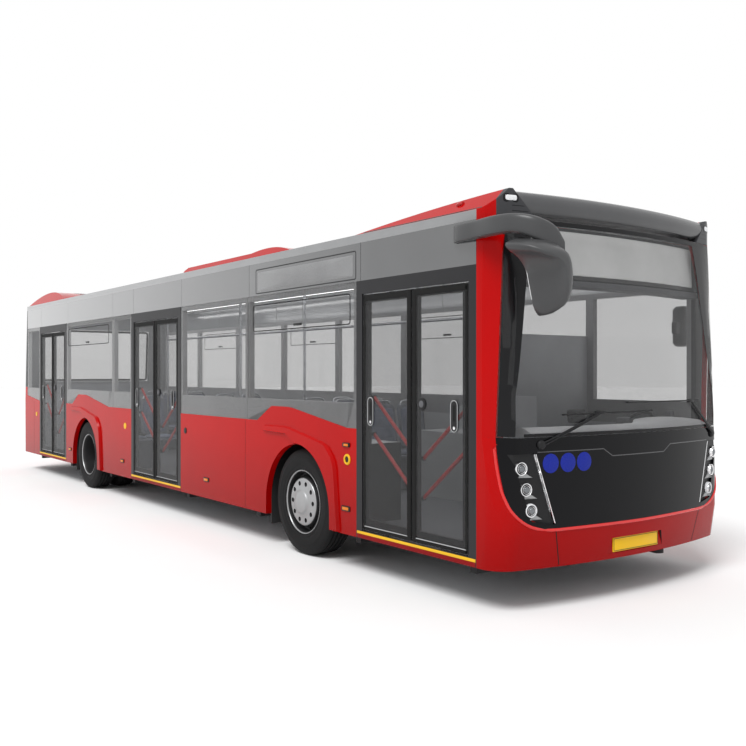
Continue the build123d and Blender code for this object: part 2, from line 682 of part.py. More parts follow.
# lid hinges outside the skin: ear on the lid, bracket with the pin on the wall
HINGE_IN = 575
HINGE_OFF = 15
HINGE_W = 40
EYE_GAP = 5
BARREL_R = 9
HINGE_R = 5
HINGE_CLEAR = 0.3
HINGE_LEG = 45
HINGE_SINK = 8
HINGE_Y = HALF_W - HINGE_IN
HINGE_Z = LID_Z1 - HINGE_GAP
HINGE_X = rear_at(HINGE_Y, HINGE_Z) - HINGE_OFF
web_x = (HINGE_X - BARREL_R / 2, HINGE_X + HINGE_OFF + HINGE_SINK)
y0, y1 = HINGE_Y - HINGE_W / 2, HINGE_Y + HINGE_W / 2
y2, y3 = y1 + EYE_GAP, y1 + EYE_GAP + HINGE_W
ear = box(*web_x, y0, y1, HINGE_Z - HINGE_LEG, HINGE_Z)
ear = ear + rod((HINGE_X, y0, HINGE_Z), (HINGE_X, y1, HINGE_Z), BARREL_R)
bore = rod((HINGE_X, y0 - 1, HINGE_Z), (HINGE_X, y1 + 1, HINGE_Z), HINGE_R + HINGE_CLEAR)
bracket = box(*web_x, y2, y3, HINGE_Z, LID_Z1 + HINGE_LEG)
bracket = bracket + rod((HINGE_X, y2, HINGE_Z), (HINGE_X, y3, HINGE_Z), BARREL_R)
bracket = bracket + rod((HINGE_X, y0, HINGE_Z), (HINGE_X, y3, HINGE_Z), HINGE_R)
for turn in (lambda shape: shape, to_left):
    lid = lid + turn(ear) - turn(bore)
    rear = rear + turn(bracket)
save("lamps", *lamps)
save("rear_fascia", rear)
save("rear_window", rear_glass)
save("engine_lid", lid)

# roof over the rear end, cut to the crown
rear_plan = bowed_plan(REAR_X + REAR_RAKE, REAR_R, REAR_CORNER_R, 0, SIDE_REAR_X - REAR_X - REAR_RAKE, -1)
rear_cap = extrude(Pos(0, 0, COVE_TOP_Z) * rear_plan, amount=400, dir=(0, 0, 1))
CROWN_R = (HALF_W**2 + CROWN_H**2) / (2 * CROWN_H)
under_crown = along(Pos(0, ROOF_TOP_Z - CROWN_R) * Circle(CROWN_R), REAR_X - 50, SIDE_REAR_X + 50)
save("roof", roof, rear_cap & under_crown)

# roof cowls: side outline as points along the bus and heights above the roof edge, inset of the sides
COWL_SIDE = 90
MIDDLE_COWL = (MIDDLE_F - 260, SPLIT_X - 220, SPLIT_X + 690)
MIDDLE_COWL_H = 95
FRONT_HUMP_H = 118
HUMP_PEAK = 260
HUMP_LAP = 40
REAR_COWL_H = 175
MIDDLE_COWL_IN = 120
REAR_COWL_IN = 25
COWL_SPARE = 10
COWL_EDGE = (60, 30)
COWL_REAR_X = SIDE_REAR_X - 30
COWL_FRONT_X = REAR_F - 200


def cowl(face, x0, x1, inset, high):
    half = HALF_W - inset
    top = half - COWL_SIDE
    section = area(
        (half, ROOF_EDGE_Z), (top, ROOF_EDGE_Z + high), (-top, ROOF_EDGE_Z + high), (-half, ROOF_EDGE_Z)
    )
    solid = across(face, HALF_W) & along(section, x0, x1)
    return solid - along(Pos(0, ROOF_TOP_Z - CROWN_R) * Circle(CROWN_R), x0 - 10, x1 + 10)


x0, x1, x2 = MIDDLE_COWL
deck_z = ROOF_EDGE_Z + MIDDLE_COWL_H
edge = [(x0, deck_z - COWL_EDGE[1]), (x0 + COWL_EDGE[0], deck_z)]
face = area((x0, ROOF_EDGE_Z), *edge, (x1, deck_z), (x1, ROOF_EDGE_Z))
start = (x1 - HUMP_LAP, deck_z)
hump_lines = Polyline((x2, ROOF_EDGE_Z), (start[0], ROOF_EDGE_Z), start)
hump_arc = ThreePointArc(start, (x1 + HUMP_PEAK, ROOF_EDGE_Z + FRONT_HUMP_H), (x2, ROOF_EDGE_Z))
face = face + make_face(Curve() + [hump_lines, hump_arc])
middle_cowl = cowl(face, x0, x2, MIDDLE_COWL_IN, FRONT_HUMP_H + COWL_SPARE)
top = ((COWL_REAR_X + COWL_FRONT_X) / 2, ROOF_EDGE_Z + REAR_COWL_H)
dome_arc = ThreePointArc((COWL_REAR_X, ROOF_EDGE_Z), top, (COWL_FRONT_X, ROOF_EDGE_Z))
dome = make_face(Curve() + [dome_arc, Line((COWL_FRONT_X, ROOF_EDGE_Z), (COWL_REAR_X, ROOF_EDGE_Z))])
rear_cowl = cowl(dome, COWL_REAR_X, COWL_FRONT_X, REAR_COWL_IN, REAR_COWL_H + COWL_SPARE)
save("roof_pods", middle_cowl, rear_cowl)

# underframe: rails, cross members, towing eyes and jacking pads
RAIL_Y = 450
RAIL_W = 80
RAIL_Z = 240
CROSS_W = 70
PAD = 120
PAD_IN = 275
PAD_DOWN = 15
PAD_OFF_AXLE = 850
EYE_R = 21
EYE_OUT_R = 48
EYE_T = 40
EYE_BACK = 120
FRONT_EYE_IN = 180
REAR_EYE_IN = 120
RAIL_FRONT_IN = 260
RAIL_REAR_IN = 150
CROSS = [
    SIDE_FRONT_X - 95,
    PAD_OFF_AXLE,
    -PAD_OFF_AXLE,
    MIDDLE_F + 70,
    MIDDLE_A - 60,
    PAD_OFF_AXLE - WHEELBASE,
    -PAD_OFF_AXLE - WHEELBASE,
    REAR_A - 65,
    REAR_X + 350,
]
frame = None
for side in (-1, 1):
    y = side * RAIL_Y
    rail = box(REAR_X + RAIL_REAR_IN, FRONT_X - RAIL_FRONT_IN, y - RAIL_W / 2, y + RAIL_W / 2, RAIL_Z, UNDER_Z)
    frame = rail if frame is None else frame + rail
for x in CROSS[:-1]:
    frame = frame + box(x - CROSS_W / 2, x + CROSS_W / 2, -INNER_Y, INNER_Y, RAIL_Z, UNDER_Z)
x = CROSS[-1]
rear_half = INNER_Y - REAR_CORNER_R
frame = frame + box(x - CROSS_W / 2, x + CROSS_W / 2, -rear_half, rear_half, RAIL_Z, UNDER_Z)
for x in (PAD_OFF_AXLE, PAD_OFF_AXLE - WHEELBASE):
    for side in (-1, 1):
        y = side * (HALF_W - PAD_IN)
        frame = frame + box(x - PAD / 2, x + PAD / 2, y - PAD / 2, y + PAD / 2, RAIL_Z - PAD_DOWN, RAIL_Z + 20)
for x, way in ((FRONT_X - FRONT_EYE_IN, 1), (REAR_X + REAR_EYE_IN, -1)):
    frame = frame + rod((x, RAIL_Y, RAIL_Z), (x, RAIL_Y, RAIL_Z + EYE_T), EYE_OUT_R)
    back_x = x - way * EYE_BACK
    frame = frame + box(back_x, x, RAIL_Y - RAIL_W / 2, RAIL_Y + RAIL_W / 2, RAIL_Z, RAIL_Z + EYE_T)
    frame = frame - rod((x, RAIL_Y, RAIL_Z - 50), (x, RAIL_Y, UNDER_Z + 50), EYE_R)
save("underframe", frame)

# floor, reaching into both ends and the doorways and cut round the wheel housings
tail_half = INNER_Y - REAR_CORNER_R + WALL_T / 2
floor = box(SIDE_REAR_X, SIDE_FRONT_X, -INNER_Y, INNER_Y, UNDER_Z, FLOOR_Z)
floor = floor + box(REAR_X + RAIL_REAR_IN, SIDE_REAR_X, -tail_half, tail_half, UNDER_Z, FLOOR_Z)
for _, x0, x1 in DOORS:
    floor = floor + box(x0, x1, STRIP_T - HALF_W, -INNER_Y, UNDER_Z, FLOOR_Z)
for _, axle_x, _ in AXLES:
    x0, x1 = axle_x - HOUSE_X - HOUSE_T, axle_x + HOUSE_X + HOUSE_T
    for side in (-1, 1):
        floor = floor - box(x0, x1, side * (HOUSE_Y - HOUSE_T), side * (INNER_Y + 1), UNDER_Z - 1, FLOOR_Z + 1)
nose_x = FRONT_X - FRONT_TUCK
nose = bowed_plan(nose_x, FRONT_R, CORNER_R, FASCIA_T + FIT, nose_x - SIDE_FRONT_X, 1)
floor = floor + extrude(Pos(0, 0, UNDER_Z) * nose, amount=FLOOR_T)
save("floor", floor)

# wheels: rims as outlines of (distance in from the tyre's outer face, radius), tyres as plain rings
RIM_R = 290
RIM_T = 22
RIM_SET = 18
TYRE_FIT = 0.3
SHOULDER = (12, 24)
SPINDLE_R = 45
REAR_SPINDLE_R = 55
HUB_CLEAR = 0.05
HOLE_COUNT = 10
HOLE_R = 24
HOLE_PITCH_R = 206
WELL_R = RIM_R - RIM_T


def revolved(points, outer_y):
    """Turns an outline about the wheel axis on the left."""
    face = area(*[(outer_y - inside, radius) for inside, radius in points])
    return revolve(Plane.YZ * face, Axis.Y)


def tyre(outer_y, top_r, worn):
    points = [(0, RIM_R + TYRE_FIT), (TYRE_W, RIM_R + TYRE_FIT), (TYRE_W, top_r)]
    points += [(SHOULDER[0], top_r), (0, top_r - SHOULDER[1])] if not worn else [(0, top_r)]
    return revolved(points, outer_y)


def holes(solid, y0, y1):
    for place in PolarLocations(HOLE_PITCH_R, HOLE_COUNT):
        x, z = place.position.X, place.position.Y
        solid = solid - rod((x, y0, z), (x, y1, z), HOLE_R)
    return solid


FRONT_RIM = [
    (TYRE_W - RIM_SET, WELL_R),
    (125, WELL_R),
    (125, 130),
    (155, 130),
    (155, SPINDLE_R + HUB_CLEAR),
    (20, SPINDLE_R + HUB_CLEAR),
    (20, 0),
    (-21, 0),
    (-21, 85),
    (13, 85),
    (13, 165),
    (85, 165),
    (85, WELL_R),
    (RIM_SET, WELL_R),
    (RIM_SET, RIM_R),
    (TYRE_W - RIM_SET, RIM_R),
]
TWIN_IN = REAR_Y1 - TWIN_Y0
REAR_RIM = [
    (TWIN_IN - RIM_SET, WELL_R),
    (335, WELL_R),
    (335, 130),
    (450, 130),
    (450, REAR_SPINDLE_R + HUB_CLEAR),
    (170, REAR_SPINDLE_R + HUB_CLEAR),
    (170, 0),
    (140, 0),
    (140, 115),
    (285, 115),
    (285, WELL_R),
    (RIM_SET, WELL_R),
    (RIM_SET, RIM_R),
    (TWIN_IN - RIM_SET, RIM_R),
]
front_place = Pos(0, 0, TYRE_R)
rear_place = Pos(-WHEELBASE, 0, TYRE_R)
front_rim = front_place * holes(revolved(FRONT_RIM, FRONT_Y1), FRONT_Y1 - 130, FRONT_Y1)
front_tyre = front_place * tyre(FRONT_Y1, TYRE_R, False)
rear_rim = rear_place * holes(revolved(REAR_RIM, REAR_Y1), REAR_Y1 - 340, REAR_Y1 - 200)
rear_tyres = [rear_place * tyre(REAR_Y1, TYRE_R, False), rear_place * tyre(TWIN_Y1, TYRE_R - 4, True)]
save("front_left_rim", front_rim)
save("front_right_rim", to_left(front_rim))
save("front_left_tyre", front_tyre)
save("front_right_tyre", to_left(front_tyre))
save("rear_left_rim", rear_rim)
save("rear_right_rim", to_left(rear_rim))
save("rear_left_tyres", *rear_tyres)
save("rear_right_tyres", *[to_left(ring) for ring in rear_tyres])

# front axle with king-pin bosses, and the knuckles that turn on them
KING_IN = 275
KING_R = 24
BOSS_R = 52
BOSS_HALF = 60
KNUCKLE_GAP = 5
KNUCKLE_H = 45
FLANGE = (58, 82)
BEAM_W = 110
BEAM_Z0 = 165
BEAM_H = 70
SADDLE = 70
DROP_IN = (280, 160)
KING_Y = HALF_W - KING_IN
BEAM_Z1 = BEAM_Z0 + BEAM_H
king_z = (TYRE_R - BOSS_HALF, TYRE_R + BOSS_HALF)
front_axle = box(-BEAM_W / 2, BEAM_W / 2, DROP_IN[0] - KING_Y, KING_Y - DROP_IN[0], BEAM_Z0, BEAM_Z1)
for side in (-1, 1):
    y0, y1, y2 = side * (KING_Y - DROP_IN[0]), side * (KING_Y - DROP_IN[1]), side * KING_Y
    front_axle = front_axle + box(-BEAM_W / 2, BEAM_W / 2, y0, y1, BEAM_Z0, king_z[1])
    front_axle = front_axle + box(-BOSS_R + 7, BOSS_R - 7, y1, y2, *king_z)
    front_axle = front_axle + rod((0, y2, king_z[0]), (0, y2, king_z[1]), BOSS_R)
    front_axle = front_axle - rod((0, y2, king_z[0] - 99), (0, y2, king_z[1] + 99), KING_R + HUB_CLEAR)
    y = side * RAIL_Y
    front_axle = front_axle + box(-SADDLE, SADDLE, y - RAIL_W / 2, y + RAIL_W / 2, BEAM_Z0, RAIL_Z)

low, high = king_z[0] - KNUCKLE_GAP, king_z[1] + KNUCKLE_GAP
flange_y = [KING_Y + y for y in FLANGE]
knuckle = rod((0, KING_Y, low - 1), (0, KING_Y, high + 1), KING_R)
for z0, z1 in ((low - KNUCKLE_H, low), (high, high + KNUCKLE_H)):
    knuckle = knuckle + rod((0, KING_Y, z0), (0, KING_Y, z1), BOSS_R)
    knuckle = knuckle + box(-BOSS_R, BOSS_R, KING_Y, flange_y[1], z0, z1)
knuckle = knuckle + box(-BOSS_R, BOSS_R, *flange_y, low - KNUCKLE_H, high + KNUCKLE_H)
knuckle = knuckle + rod((0, flange_y[0], TYRE_R), (0, FRONT_Y1 - 21, TYRE_R), SPINDLE_R)
save("knuckle_left", knuckle)
save("knuckle_right", to_left(knuckle))

# rear axle with raised ends between housing and inner tyre
RISER_GAP = 6
RISER_T = 31
RISER_UP = 120
riser_y = (TWIN_Y0 - RISER_GAP - RISER_T, TWIN_Y0 - RISER_GAP)
rear_axle = box(-BEAM_W, BEAM_W, -riser_y[1], riser_y[1], BEAM_Z0, BEAM_Z1)
for side in (-1, 1):
    y0, y1, y2 = side * riser_y[0], side * riser_y[1], side * (REAR_Y1 - 172)
    rear_axle = rear_axle + box(-BEAM_W, BEAM_W, y0, y1, BEAM_Z0, TYRE_R + RISER_UP)
    rear_axle = rear_axle + rod((0, y0, TYRE_R), (0, y2, TYRE_R), REAR_SPINDLE_R)
    y = side * RAIL_Y
    rear_axle = rear_axle + box(-SADDLE, SADDLE, y - RAIL_W / 2, y + RAIL_W / 2, BEAM_Z0, RAIL_Z)
save("axles", front_axle, Pos(-WHEELBASE, 0, 0) * rear_axle)

# driver's place: dashboard with steering column, steering wheel, seat and partition
DRIVER_IN = 575
DASH_HALF = 300
DASH = [(85, 0), (175, 0), (235, 840), (60, 850), (-60, 790), (-145, 760), (-165, 610), (55, 560)]
COLUMN_R = 35
COLUMN = [(-15, 640), (-165, 790)]
WHEEL_R = 240
WHEEL_T = 30
WHEEL_UP = 36
HUB_R = 50
SPOKE_W = 50
DRIVER_Y = INNER_Y - DRIVER_IN
dash = across(area(*[(SIDE_FRONT_X + dx, FLOOR_Z + up) for dx, up in DASH]), DASH_HALF)
dash = Pos(0, DRIVER_Y, 0) * dash
ends = [(SIDE_FRONT_X + dx, DRIVER_Y, FLOOR_Z + up) for dx, up in COLUMN]
save("dashboard", dash + rod(*ends, COLUMN_R))
wheel_plane = Plane(origin=ends[1], z_dir=(-1, 0, 1))
ring = extrude(Circle(WHEEL_R) - Circle(WHEEL_R - WHEEL_T), amount=WHEEL_T)
spokes = extrude(Rectangle(2 * WHEEL_R - WHEEL_T, SPOKE_W), amount=WHEEL_T / 2)
spokes = spokes + extrude(rect(-SPOKE_W / 2, SPOKE_W / 2, WHEEL_T / 2 - WHEEL_R, 0), amount=WHEEL_T / 2)
hub = extrude(Circle(HUB_R), amount=WHEEL_UP + WHEEL_T)
wheel = Pos(0, 0, WHEEL_UP) * (ring + spokes) + Pos(0, 0, SEAT_CLEAR) * hub
save("steering_wheel", wheel_plane * wheel)

# seats in side view, ahead of the seat's place and above the floor: leg, cushion and leaning back
LEG = (-40, 130)
LEG_H = 380
CUSHION_H = 70
CUSHION = [(-135, 0), (300, 0), (312, 0.65), (290, 1), (-135, 1)]
BACK_X = (-130, -75)
BACK_LEAN = -85
BACK_H = 560
BACK_CUT = 70
SEAT_SPLIT = 24
SEAT_WALL = 5
SINGLE_W = 440
DOUBLE_W = 860
CUSHION_Z = FLOOR_Z + LEG_H + CUSHION_H


def seat(x, y, wide):
    """One seat or a pair facing forward, the backs parted and the leg narrower than the cushion."""
    leg = box(x + LEG[0], x + LEG[1], y - wide / 4, y + wide / 4, FLOOR_Z, FLOOR_Z + LEG_H)
    side = area(*[(x + dx, FLOOR_Z + LEG_H + up * CUSHION_H) for dx, up in CUSHION])
    solids = [leg, Pos(0, y, 0) * across(side, wide / 2)]
    top_z = CUSHION_Z + BACK_H
    places = 2 if wide > (SINGLE_W + DOUBLE_W) / 2 else 1
    half = (wide / places - SEAT_SPLIT) / 2
    side = area(
        (x + BACK_X[0], CUSHION_Z),
        (x + BACK_X[1], CUSHION_Z),
        (x + BACK_X[1] + BACK_LEAN, top_z),
        (x + BACK_X[0] + BACK_LEAN, top_z),
    )
    for i in range(places):
        middle = y - wide / 2 + (i + 0.5) * wide / places
        shoulder_z = top_z - BACK_CUT
        front = area(
            (middle - half, CUSHION_Z),
            (middle + half, CUSHION_Z),
            (middle + half, shoulder_z),
            (middle + half - BACK_CUT, top_z),
            (middle - half + BACK_CUT, top_z),
            (middle - half, shoulder_z),
        )
        solids.append(across(side, HALF_W) & along(front, x - BACK_H, x + BACK_H))
    return solids


DRIVER_BACK = 595
PARTITION_AHEAD = 275
PARTITION_T = 30
PARTITION_H = 1660
GATE_LONG = 440
GATE_H = 1110
AISLE_Y = 60
DRIVER_W = 480
save("driver_seat", *seat(SIDE_FRONT_X - DRIVER_BACK, DRIVER_Y, DRIVER_W))
x0 = FRONT_A + PARTITION_AHEAD
x1 = x0 + PARTITION_T
partition = box(x0, x1, AISLE_Y, INNER_Y, FLOOR_Z, FLOOR_Z + PARTITION_H)
partition = partition + box(x1, x1 + GATE_LONG, AISLE_Y, AISLE_Y + PARTITION_T, FLOOR_Z, FLOOR_Z + GATE_H)
save("cab_partition", partition)

# passenger seats: place along the bus, side, width
REAR_AXLE_X = -WHEELBASE
BEHIND_FRONT = 1050
SEAT_PITCH = 700
AHEAD_OF_REAR = 900
BEHIND_REAR = 1060
SEATS = [
    (-BEHIND_FRONT, -1, SINGLE_W),
    (-BEHIND_FRONT - SEAT_PITCH, -1, SINGLE_W),
    (REAR_AXLE_X + AHEAD_OF_REAR, -1, DOUBLE_W),
    (-BEHIND_FRONT, 1, DOUBLE_W),
    (-BEHIND_FRONT - SEAT_PITCH, 1, DOUBLE_W),
    (-BEHIND_FRONT - 2 * SEAT_PITCH, 1, DOUBLE_W),
    (REAR_AXLE_X + AHEAD_OF_REAR, 1, DOUBLE_W),
    (REAR_AXLE_X - BEHIND_REAR, 1, DOUBLE_W),
    (REAR_AXLE_X - BEHIND_REAR - SEAT_PITCH, 1, DOUBLE_W),
]
seats = []
for x, side, wide in SEATS:
    seats += seat(x, side * (INNER_Y - SEAT_WALL - wide / 2), wide)
save("passenger_seats", *seats)

# grab poles from floor to roof beside the doorways
POLE_R = 17
POLE_IN = 655
POLE_OFF = 85
POLE_AISLE = 25
POLE_Y = [POLE_IN - INNER_Y, INNER_Y - SEAT_WALL - DOUBLE_W - POLE_AISLE]
poles = []
for x in (FRONT_A - POLE_OFF, MIDDLE_F + POLE_OFF, MIDDLE_A - POLE_OFF, REAR_F + POLE_OFF):
    for y in POLE_Y:
        poles.append(rod((x, y, FLOOR_Z), (x, y, ROOF_TOP_Z), POLE_R) - roof)
save("grab_poles", *[pole.solids().sort_by(Axis.Z)[0] for pole in poles])

# engine housing with the rear bench on it, and the engine as one plain block
DECK_UP = 660
DECK_T = 30
DECK_AHEAD = 175
BENCH_UP = 1110
BENCH_T = 60
BACK_IN = 190
ENGINE_HALF = 600
ENGINE_GAP = 60
DECK_Z = FLOOR_Z + DECK_UP
x0, x1 = REAR_A - DECK_AHEAD - DECK_T, REAR_A - DECK_AHEAD
back_x = REAR_X + BACK_IN
house = box(x0, x1, -INNER_Y, INNER_Y, FLOOR_Z, DECK_Z)
house = house + box(SIDE_REAR_X, x1, -INNER_Y, INNER_Y, DECK_Z - DECK_T, DECK_Z)
house = house + box(back_x, SIDE_REAR_X, -tail_half, tail_half, DECK_Z - DECK_T, DECK_Z)
house = house + box(back_x, back_x + BENCH_T, -tail_half, tail_half, DECK_Z - DECK_T, FLOOR_Z + BENCH_UP)
save("engine_housing", house)
engine_z = DECK_Z - DECK_T - ENGINE_GAP / 2
save("engine", box(back_x + ENGINE_GAP, x0 - ENGINE_GAP, -ENGINE_HALF, ENGINE_HALF, FLOOR_Z, engine_z))

# right mirror: an arm from the side wall round the corner, and a drop-shaped head in three sections
ARM_PLAN = [
    (-209, 0),
    (75, 0),
    (275, -15),
    (445, 45),
    (580, 160),
    (650, 130),
    (590, 0),
    (455, -90),
    (275, -115),
    (55, -80),
    (-130, -55),
    (-209, -25),
]
ARM_LOW = 147
ARM_HIGH = 22
ARM_DROP = 90
ARM_UNDER = [(-210, 0), (430, 0), (550, ARM_DROP), (735, ARM_DROP)]
ARM_OVER = [(735, 105), (540, 40), (370, 0), (-210, 0)]
HEAD = [(-165, 242), (-70, 190), (150, 200), (200, 275), (215, 560), (190, 662), (130, 680), (45, 590), (-10, 370)]
HEAD_SECTIONS = [(290, 1, 0, 0), (110, 0.86, 22, 58), (0, 0.42, 62, 225)]
points = [(SIDE_FRONT_X + dx, dy - HALF_W) for dx, dy in ARM_PLAN]
arm_z = (COVE_TOP_Z - ARM_LOW, COVE_TOP_Z - ARM_HIGH)
arm = extrude(Pos(0, 0, arm_z[0] - ARM_DROP) * area(*points), amount=arm_z[1] - arm_z[0] + ARM_DROP)
arm_low = [(SIDE_FRONT_X + dx, arm_z[0] - down) for dx, down in ARM_UNDER]
arm_top = [(SIDE_FRONT_X + dx, arm_z[1] - down) for dx, down in ARM_OVER]
arm = arm & across(area(*arm_low, *arm_top), 2 * HALF_W)
rings = []
for back, scale, shift_y, shift_z in HEAD_SECTIONS:
    ring = [(shift_y + dy * scale - HALF_W, COVE_TOP_Z - shift_z - down * scale) for dy, down in HEAD]
    rings.append((Plane.YZ.offset(MIRROR_X - back) * area(*ring)).face().outer_wire())
head = Solid.make_loft(rings, ruled=True)

# left mirror: a short stub and an upright head
LEFT_BACK = 275
LEFT_STUB = (60, 55, 110)
LEFT_HEAD = (130, -HEAD[0][0] - LEFT_STUB[1], 360)
LEFT_DOWN = 652
stub_x = SIDE_FRONT_X - LEFT_BACK
stub_z = COVE_TOP_Z - LEFT_DOWN
left_mirror = Pos(stub_x + 65, HALF_W + LEFT_STUB[1] / 2, stub_z - 15) * Box(*LEFT_STUB)
upright = Box(*LEFT_HEAD)
upright = fillet(upright.edges().filter_by(Axis.X), 45)
left_mirror = left_mirror + Pos(stub_x + 65, HALF_W + LEFT_STUB[1] + LEFT_HEAD[1] / 2, stub_z) * upright
save("mirrors", arm + head, left_mirror)

# wipers lying on the windscreen in front view, in from the sides and above the skirt: pivot, arm end, blade ends
WIPERS = [
    (-1, (319, 850), (856, 1060), (503, 1052), (1421, 1062)),
    (1, (195, 850), (575, 1125), (435, 1125), (1417, 1128)),
]
WIPER_T = 22
WIPER_CLEAR = 0.3


def strip(start, end, wide):
    """A round-ended bar in front view."""
    start, end = Vector(*start), Vector(*end)
    run = end - start
    middle = (start + end) * 0.5
    turn = Rot(0, 0, atan2(run.Y, run.X) * 180 / pi)
    return Pos(middle.X, middle.Y) * turn * Rectangle(run.length + wide, wide)


wiper_layer = front_solid(-WIPER_T, SIDE_FRONT_X) - front_solid(-WIPER_CLEAR, SIDE_FRONT_X - 50, 10)
wipers = []
for side, *places in WIPERS:
    pivot, arm_end, blade_0, blade_1 = [(side * (HALF_W - inside), SKIRT_Z + up) for inside, up in places]
    face = strip(pivot, arm_end, 34) + strip(blade_0, blade_1, 26) + Pos(*pivot) * RegularPolygon(36, 8)
    wipers.append(wiper_layer & along(face, FRONT_X - 240, FRONT_X + 160))
save("wipers", *wipers)
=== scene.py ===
import math

import bmesh
import bpy
from mathutils import Matrix, Vector
from mathutils.bvhtree import BVHTree


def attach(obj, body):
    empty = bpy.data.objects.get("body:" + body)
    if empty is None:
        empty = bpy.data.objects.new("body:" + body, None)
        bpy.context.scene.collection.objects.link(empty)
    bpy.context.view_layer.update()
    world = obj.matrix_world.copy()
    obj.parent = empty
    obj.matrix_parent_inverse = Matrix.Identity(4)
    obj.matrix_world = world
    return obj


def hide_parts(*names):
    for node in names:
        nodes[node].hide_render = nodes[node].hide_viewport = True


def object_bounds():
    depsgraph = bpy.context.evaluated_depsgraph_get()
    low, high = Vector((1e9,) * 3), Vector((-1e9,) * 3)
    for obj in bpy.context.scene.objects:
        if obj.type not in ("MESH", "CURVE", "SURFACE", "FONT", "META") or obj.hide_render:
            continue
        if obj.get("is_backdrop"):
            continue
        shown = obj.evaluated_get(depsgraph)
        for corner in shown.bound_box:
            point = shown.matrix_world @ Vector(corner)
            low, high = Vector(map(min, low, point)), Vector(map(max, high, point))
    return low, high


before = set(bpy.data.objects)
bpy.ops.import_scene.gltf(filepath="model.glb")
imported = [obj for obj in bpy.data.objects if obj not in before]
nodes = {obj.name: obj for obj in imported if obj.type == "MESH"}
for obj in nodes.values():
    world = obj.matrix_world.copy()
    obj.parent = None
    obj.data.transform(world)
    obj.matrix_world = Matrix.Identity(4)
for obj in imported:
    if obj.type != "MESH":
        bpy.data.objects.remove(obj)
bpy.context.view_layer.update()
scene = bpy.context.scene
scene.view_settings.view_transform = "Standard"

# sizes are in mm with x counted from the front axle, as in the part's source
AXLE_X = 3085
HALF_W = 1275
TYRE_R = 480
WHEELBASE = 5840
SIDES = ((-1, "right"), (1, "left"))


def at(x, y, z):
    """Place in the shared frame, in metres."""
    return Vector((x + AXLE_X, y, z)) / 1000


# camera fitted to the photo, a 746 pixel square frame
PHOTO_PX = 746
FOCAL_PX = 887.5
SENSOR_MM = 36.0
CAMERA_YAW = math.radians(143.83)
CAMERA_AT = (6871.3, -5467.9, 1647.5)
camera_data = bpy.data.cameras.new("camera")
camera_data.sensor_width = SENSOR_MM
camera_data.lens = SENSOR_MM * FOCAL_PX / PHOTO_PX
camera = bpy.data.objects.new("camera", camera_data)
scene.collection.objects.link(camera)
forward = Vector((math.cos(CAMERA_YAW), math.sin(CAMERA_YAW), 0))
up = Vector((0, 0, 1))
turn = Matrix((forward.cross(up), up, -forward)).transposed()
camera.matrix_world = Matrix.Translation(at(*CAMERA_AT)) @ turn.to_4x4()
scene.camera = camera

# shader nodes
MIX_FROM, MIX_TO, MIX_RESULT = 6, 7, 2


def node(tree, kind, *feeds, **values):
    """Shader node with its sockets, by order or by name, fed by a value or by another node's output."""
    made = tree.nodes.new("ShaderNode" + kind)
    for name, value in [*values.items(), *enumerate(feeds)]:
        socket = name.replace("_", " ") if isinstance(name, str) else name
        if isinstance(name, str) and socket not in made.inputs:
            setattr(made, name, value)
        elif isinstance(value, bpy.types.NodeSocket):
            tree.links.new(value, made.inputs[socket])
        else:
            made.inputs[socket].default_value = value
    return made


# soft studio light: an even white world and one broad lamp from the door side
WORLD_LIGHT = 0.58
WORLD_SEEN = 1.0
SUN_LIGHT = 2.15
SUN_SPREAD = math.radians(28)
SUN_FROM = Vector((0.30, -0.62, 0.95))
world = bpy.data.worlds.new("studio")
scene.world = world
world.use_nodes = True
tree = world.node_tree
rays = node(tree, "LightPath").outputs
seen = rays["Is Camera Ray"]
for ray in ("Is Glossy Ray", "Is Transmission Ray"):
    seen = node(tree, "Math", seen, rays[ray], operation="MAXIMUM").outputs[0]
level = node(tree, "MapRange", seen, To_Min=WORLD_LIGHT, To_Max=WORLD_SEEN)
tree.nodes["Background"].inputs["Color"].default_value = (1, 1, 1, 1)
tree.links.new(level.outputs[0], tree.nodes["Background"].inputs["Strength"])
sun = bpy.data.lights.new("key", "SUN")
sun.energy = SUN_LIGHT
sun.angle = SUN_SPREAD
key = bpy.data.objects.new("key", sun)
key.rotation_euler = SUN_FROM.to_track_quat("Z", "Y").to_euler()
scene.collection.objects.link(key)


# materials: every one has its own colour drift, roughness drift and surface grain
def finish(
    name, colour, rough, vary=0.12, spread=0.06, patch=1.5, grain=120, bump=0.05, stretch=(1, 1, 1), spec=0.5,
    **sockets,
):
    """Principled material with noise in its colour, roughness and normal."""
    made = bpy.data.materials.new(name)
    made.use_nodes = True
    tree = made.node_tree
    shader = tree.nodes["Principled BSDF"].inputs
    shader["Specular IOR Level"].default_value = spec
    for socket, value in sockets.items():
        shader[socket.replace("_", " ")].default_value = value
    place = node(tree, "TexCoord").outputs["Object"]
    scale = node(tree, "Mapping", place, Scale=stretch).outputs[0]
    broad = node(tree, "TexNoise", scale, Scale=patch, Detail=5.0, Roughness=0.6).outputs["Fac"]
    fine = node(tree, "TexNoise", scale, Scale=grain, Detail=3.0).outputs["Fac"]
    ramp = node(tree, "ValToRGB", broad)
    for end, where, share in zip(ramp.color_ramp.elements, (0.3, 0.7), (1 - vary, 1 + vary)):
        end.position = where
        end.color = (*[min(1, c * share) for c in colour], 1)
    tree.links.new(ramp.outputs["Color"], shader["Base Color"])
    low, high = max(0.02, rough - spread), min(1, rough + spread)
    shine = node(tree, "MapRange", fine, From_Min=0.3, From_Max=0.7, To_Min=low, To_Max=high)
    tree.links.new(shine.outputs[0], shader["Roughness"])
    if bump:
        relief = node(tree, "Bump", Height=fine, Strength=bump, Distance=0.002)
        tree.links.new(relief.outputs["Normal"], shader["Normal"])
    return made


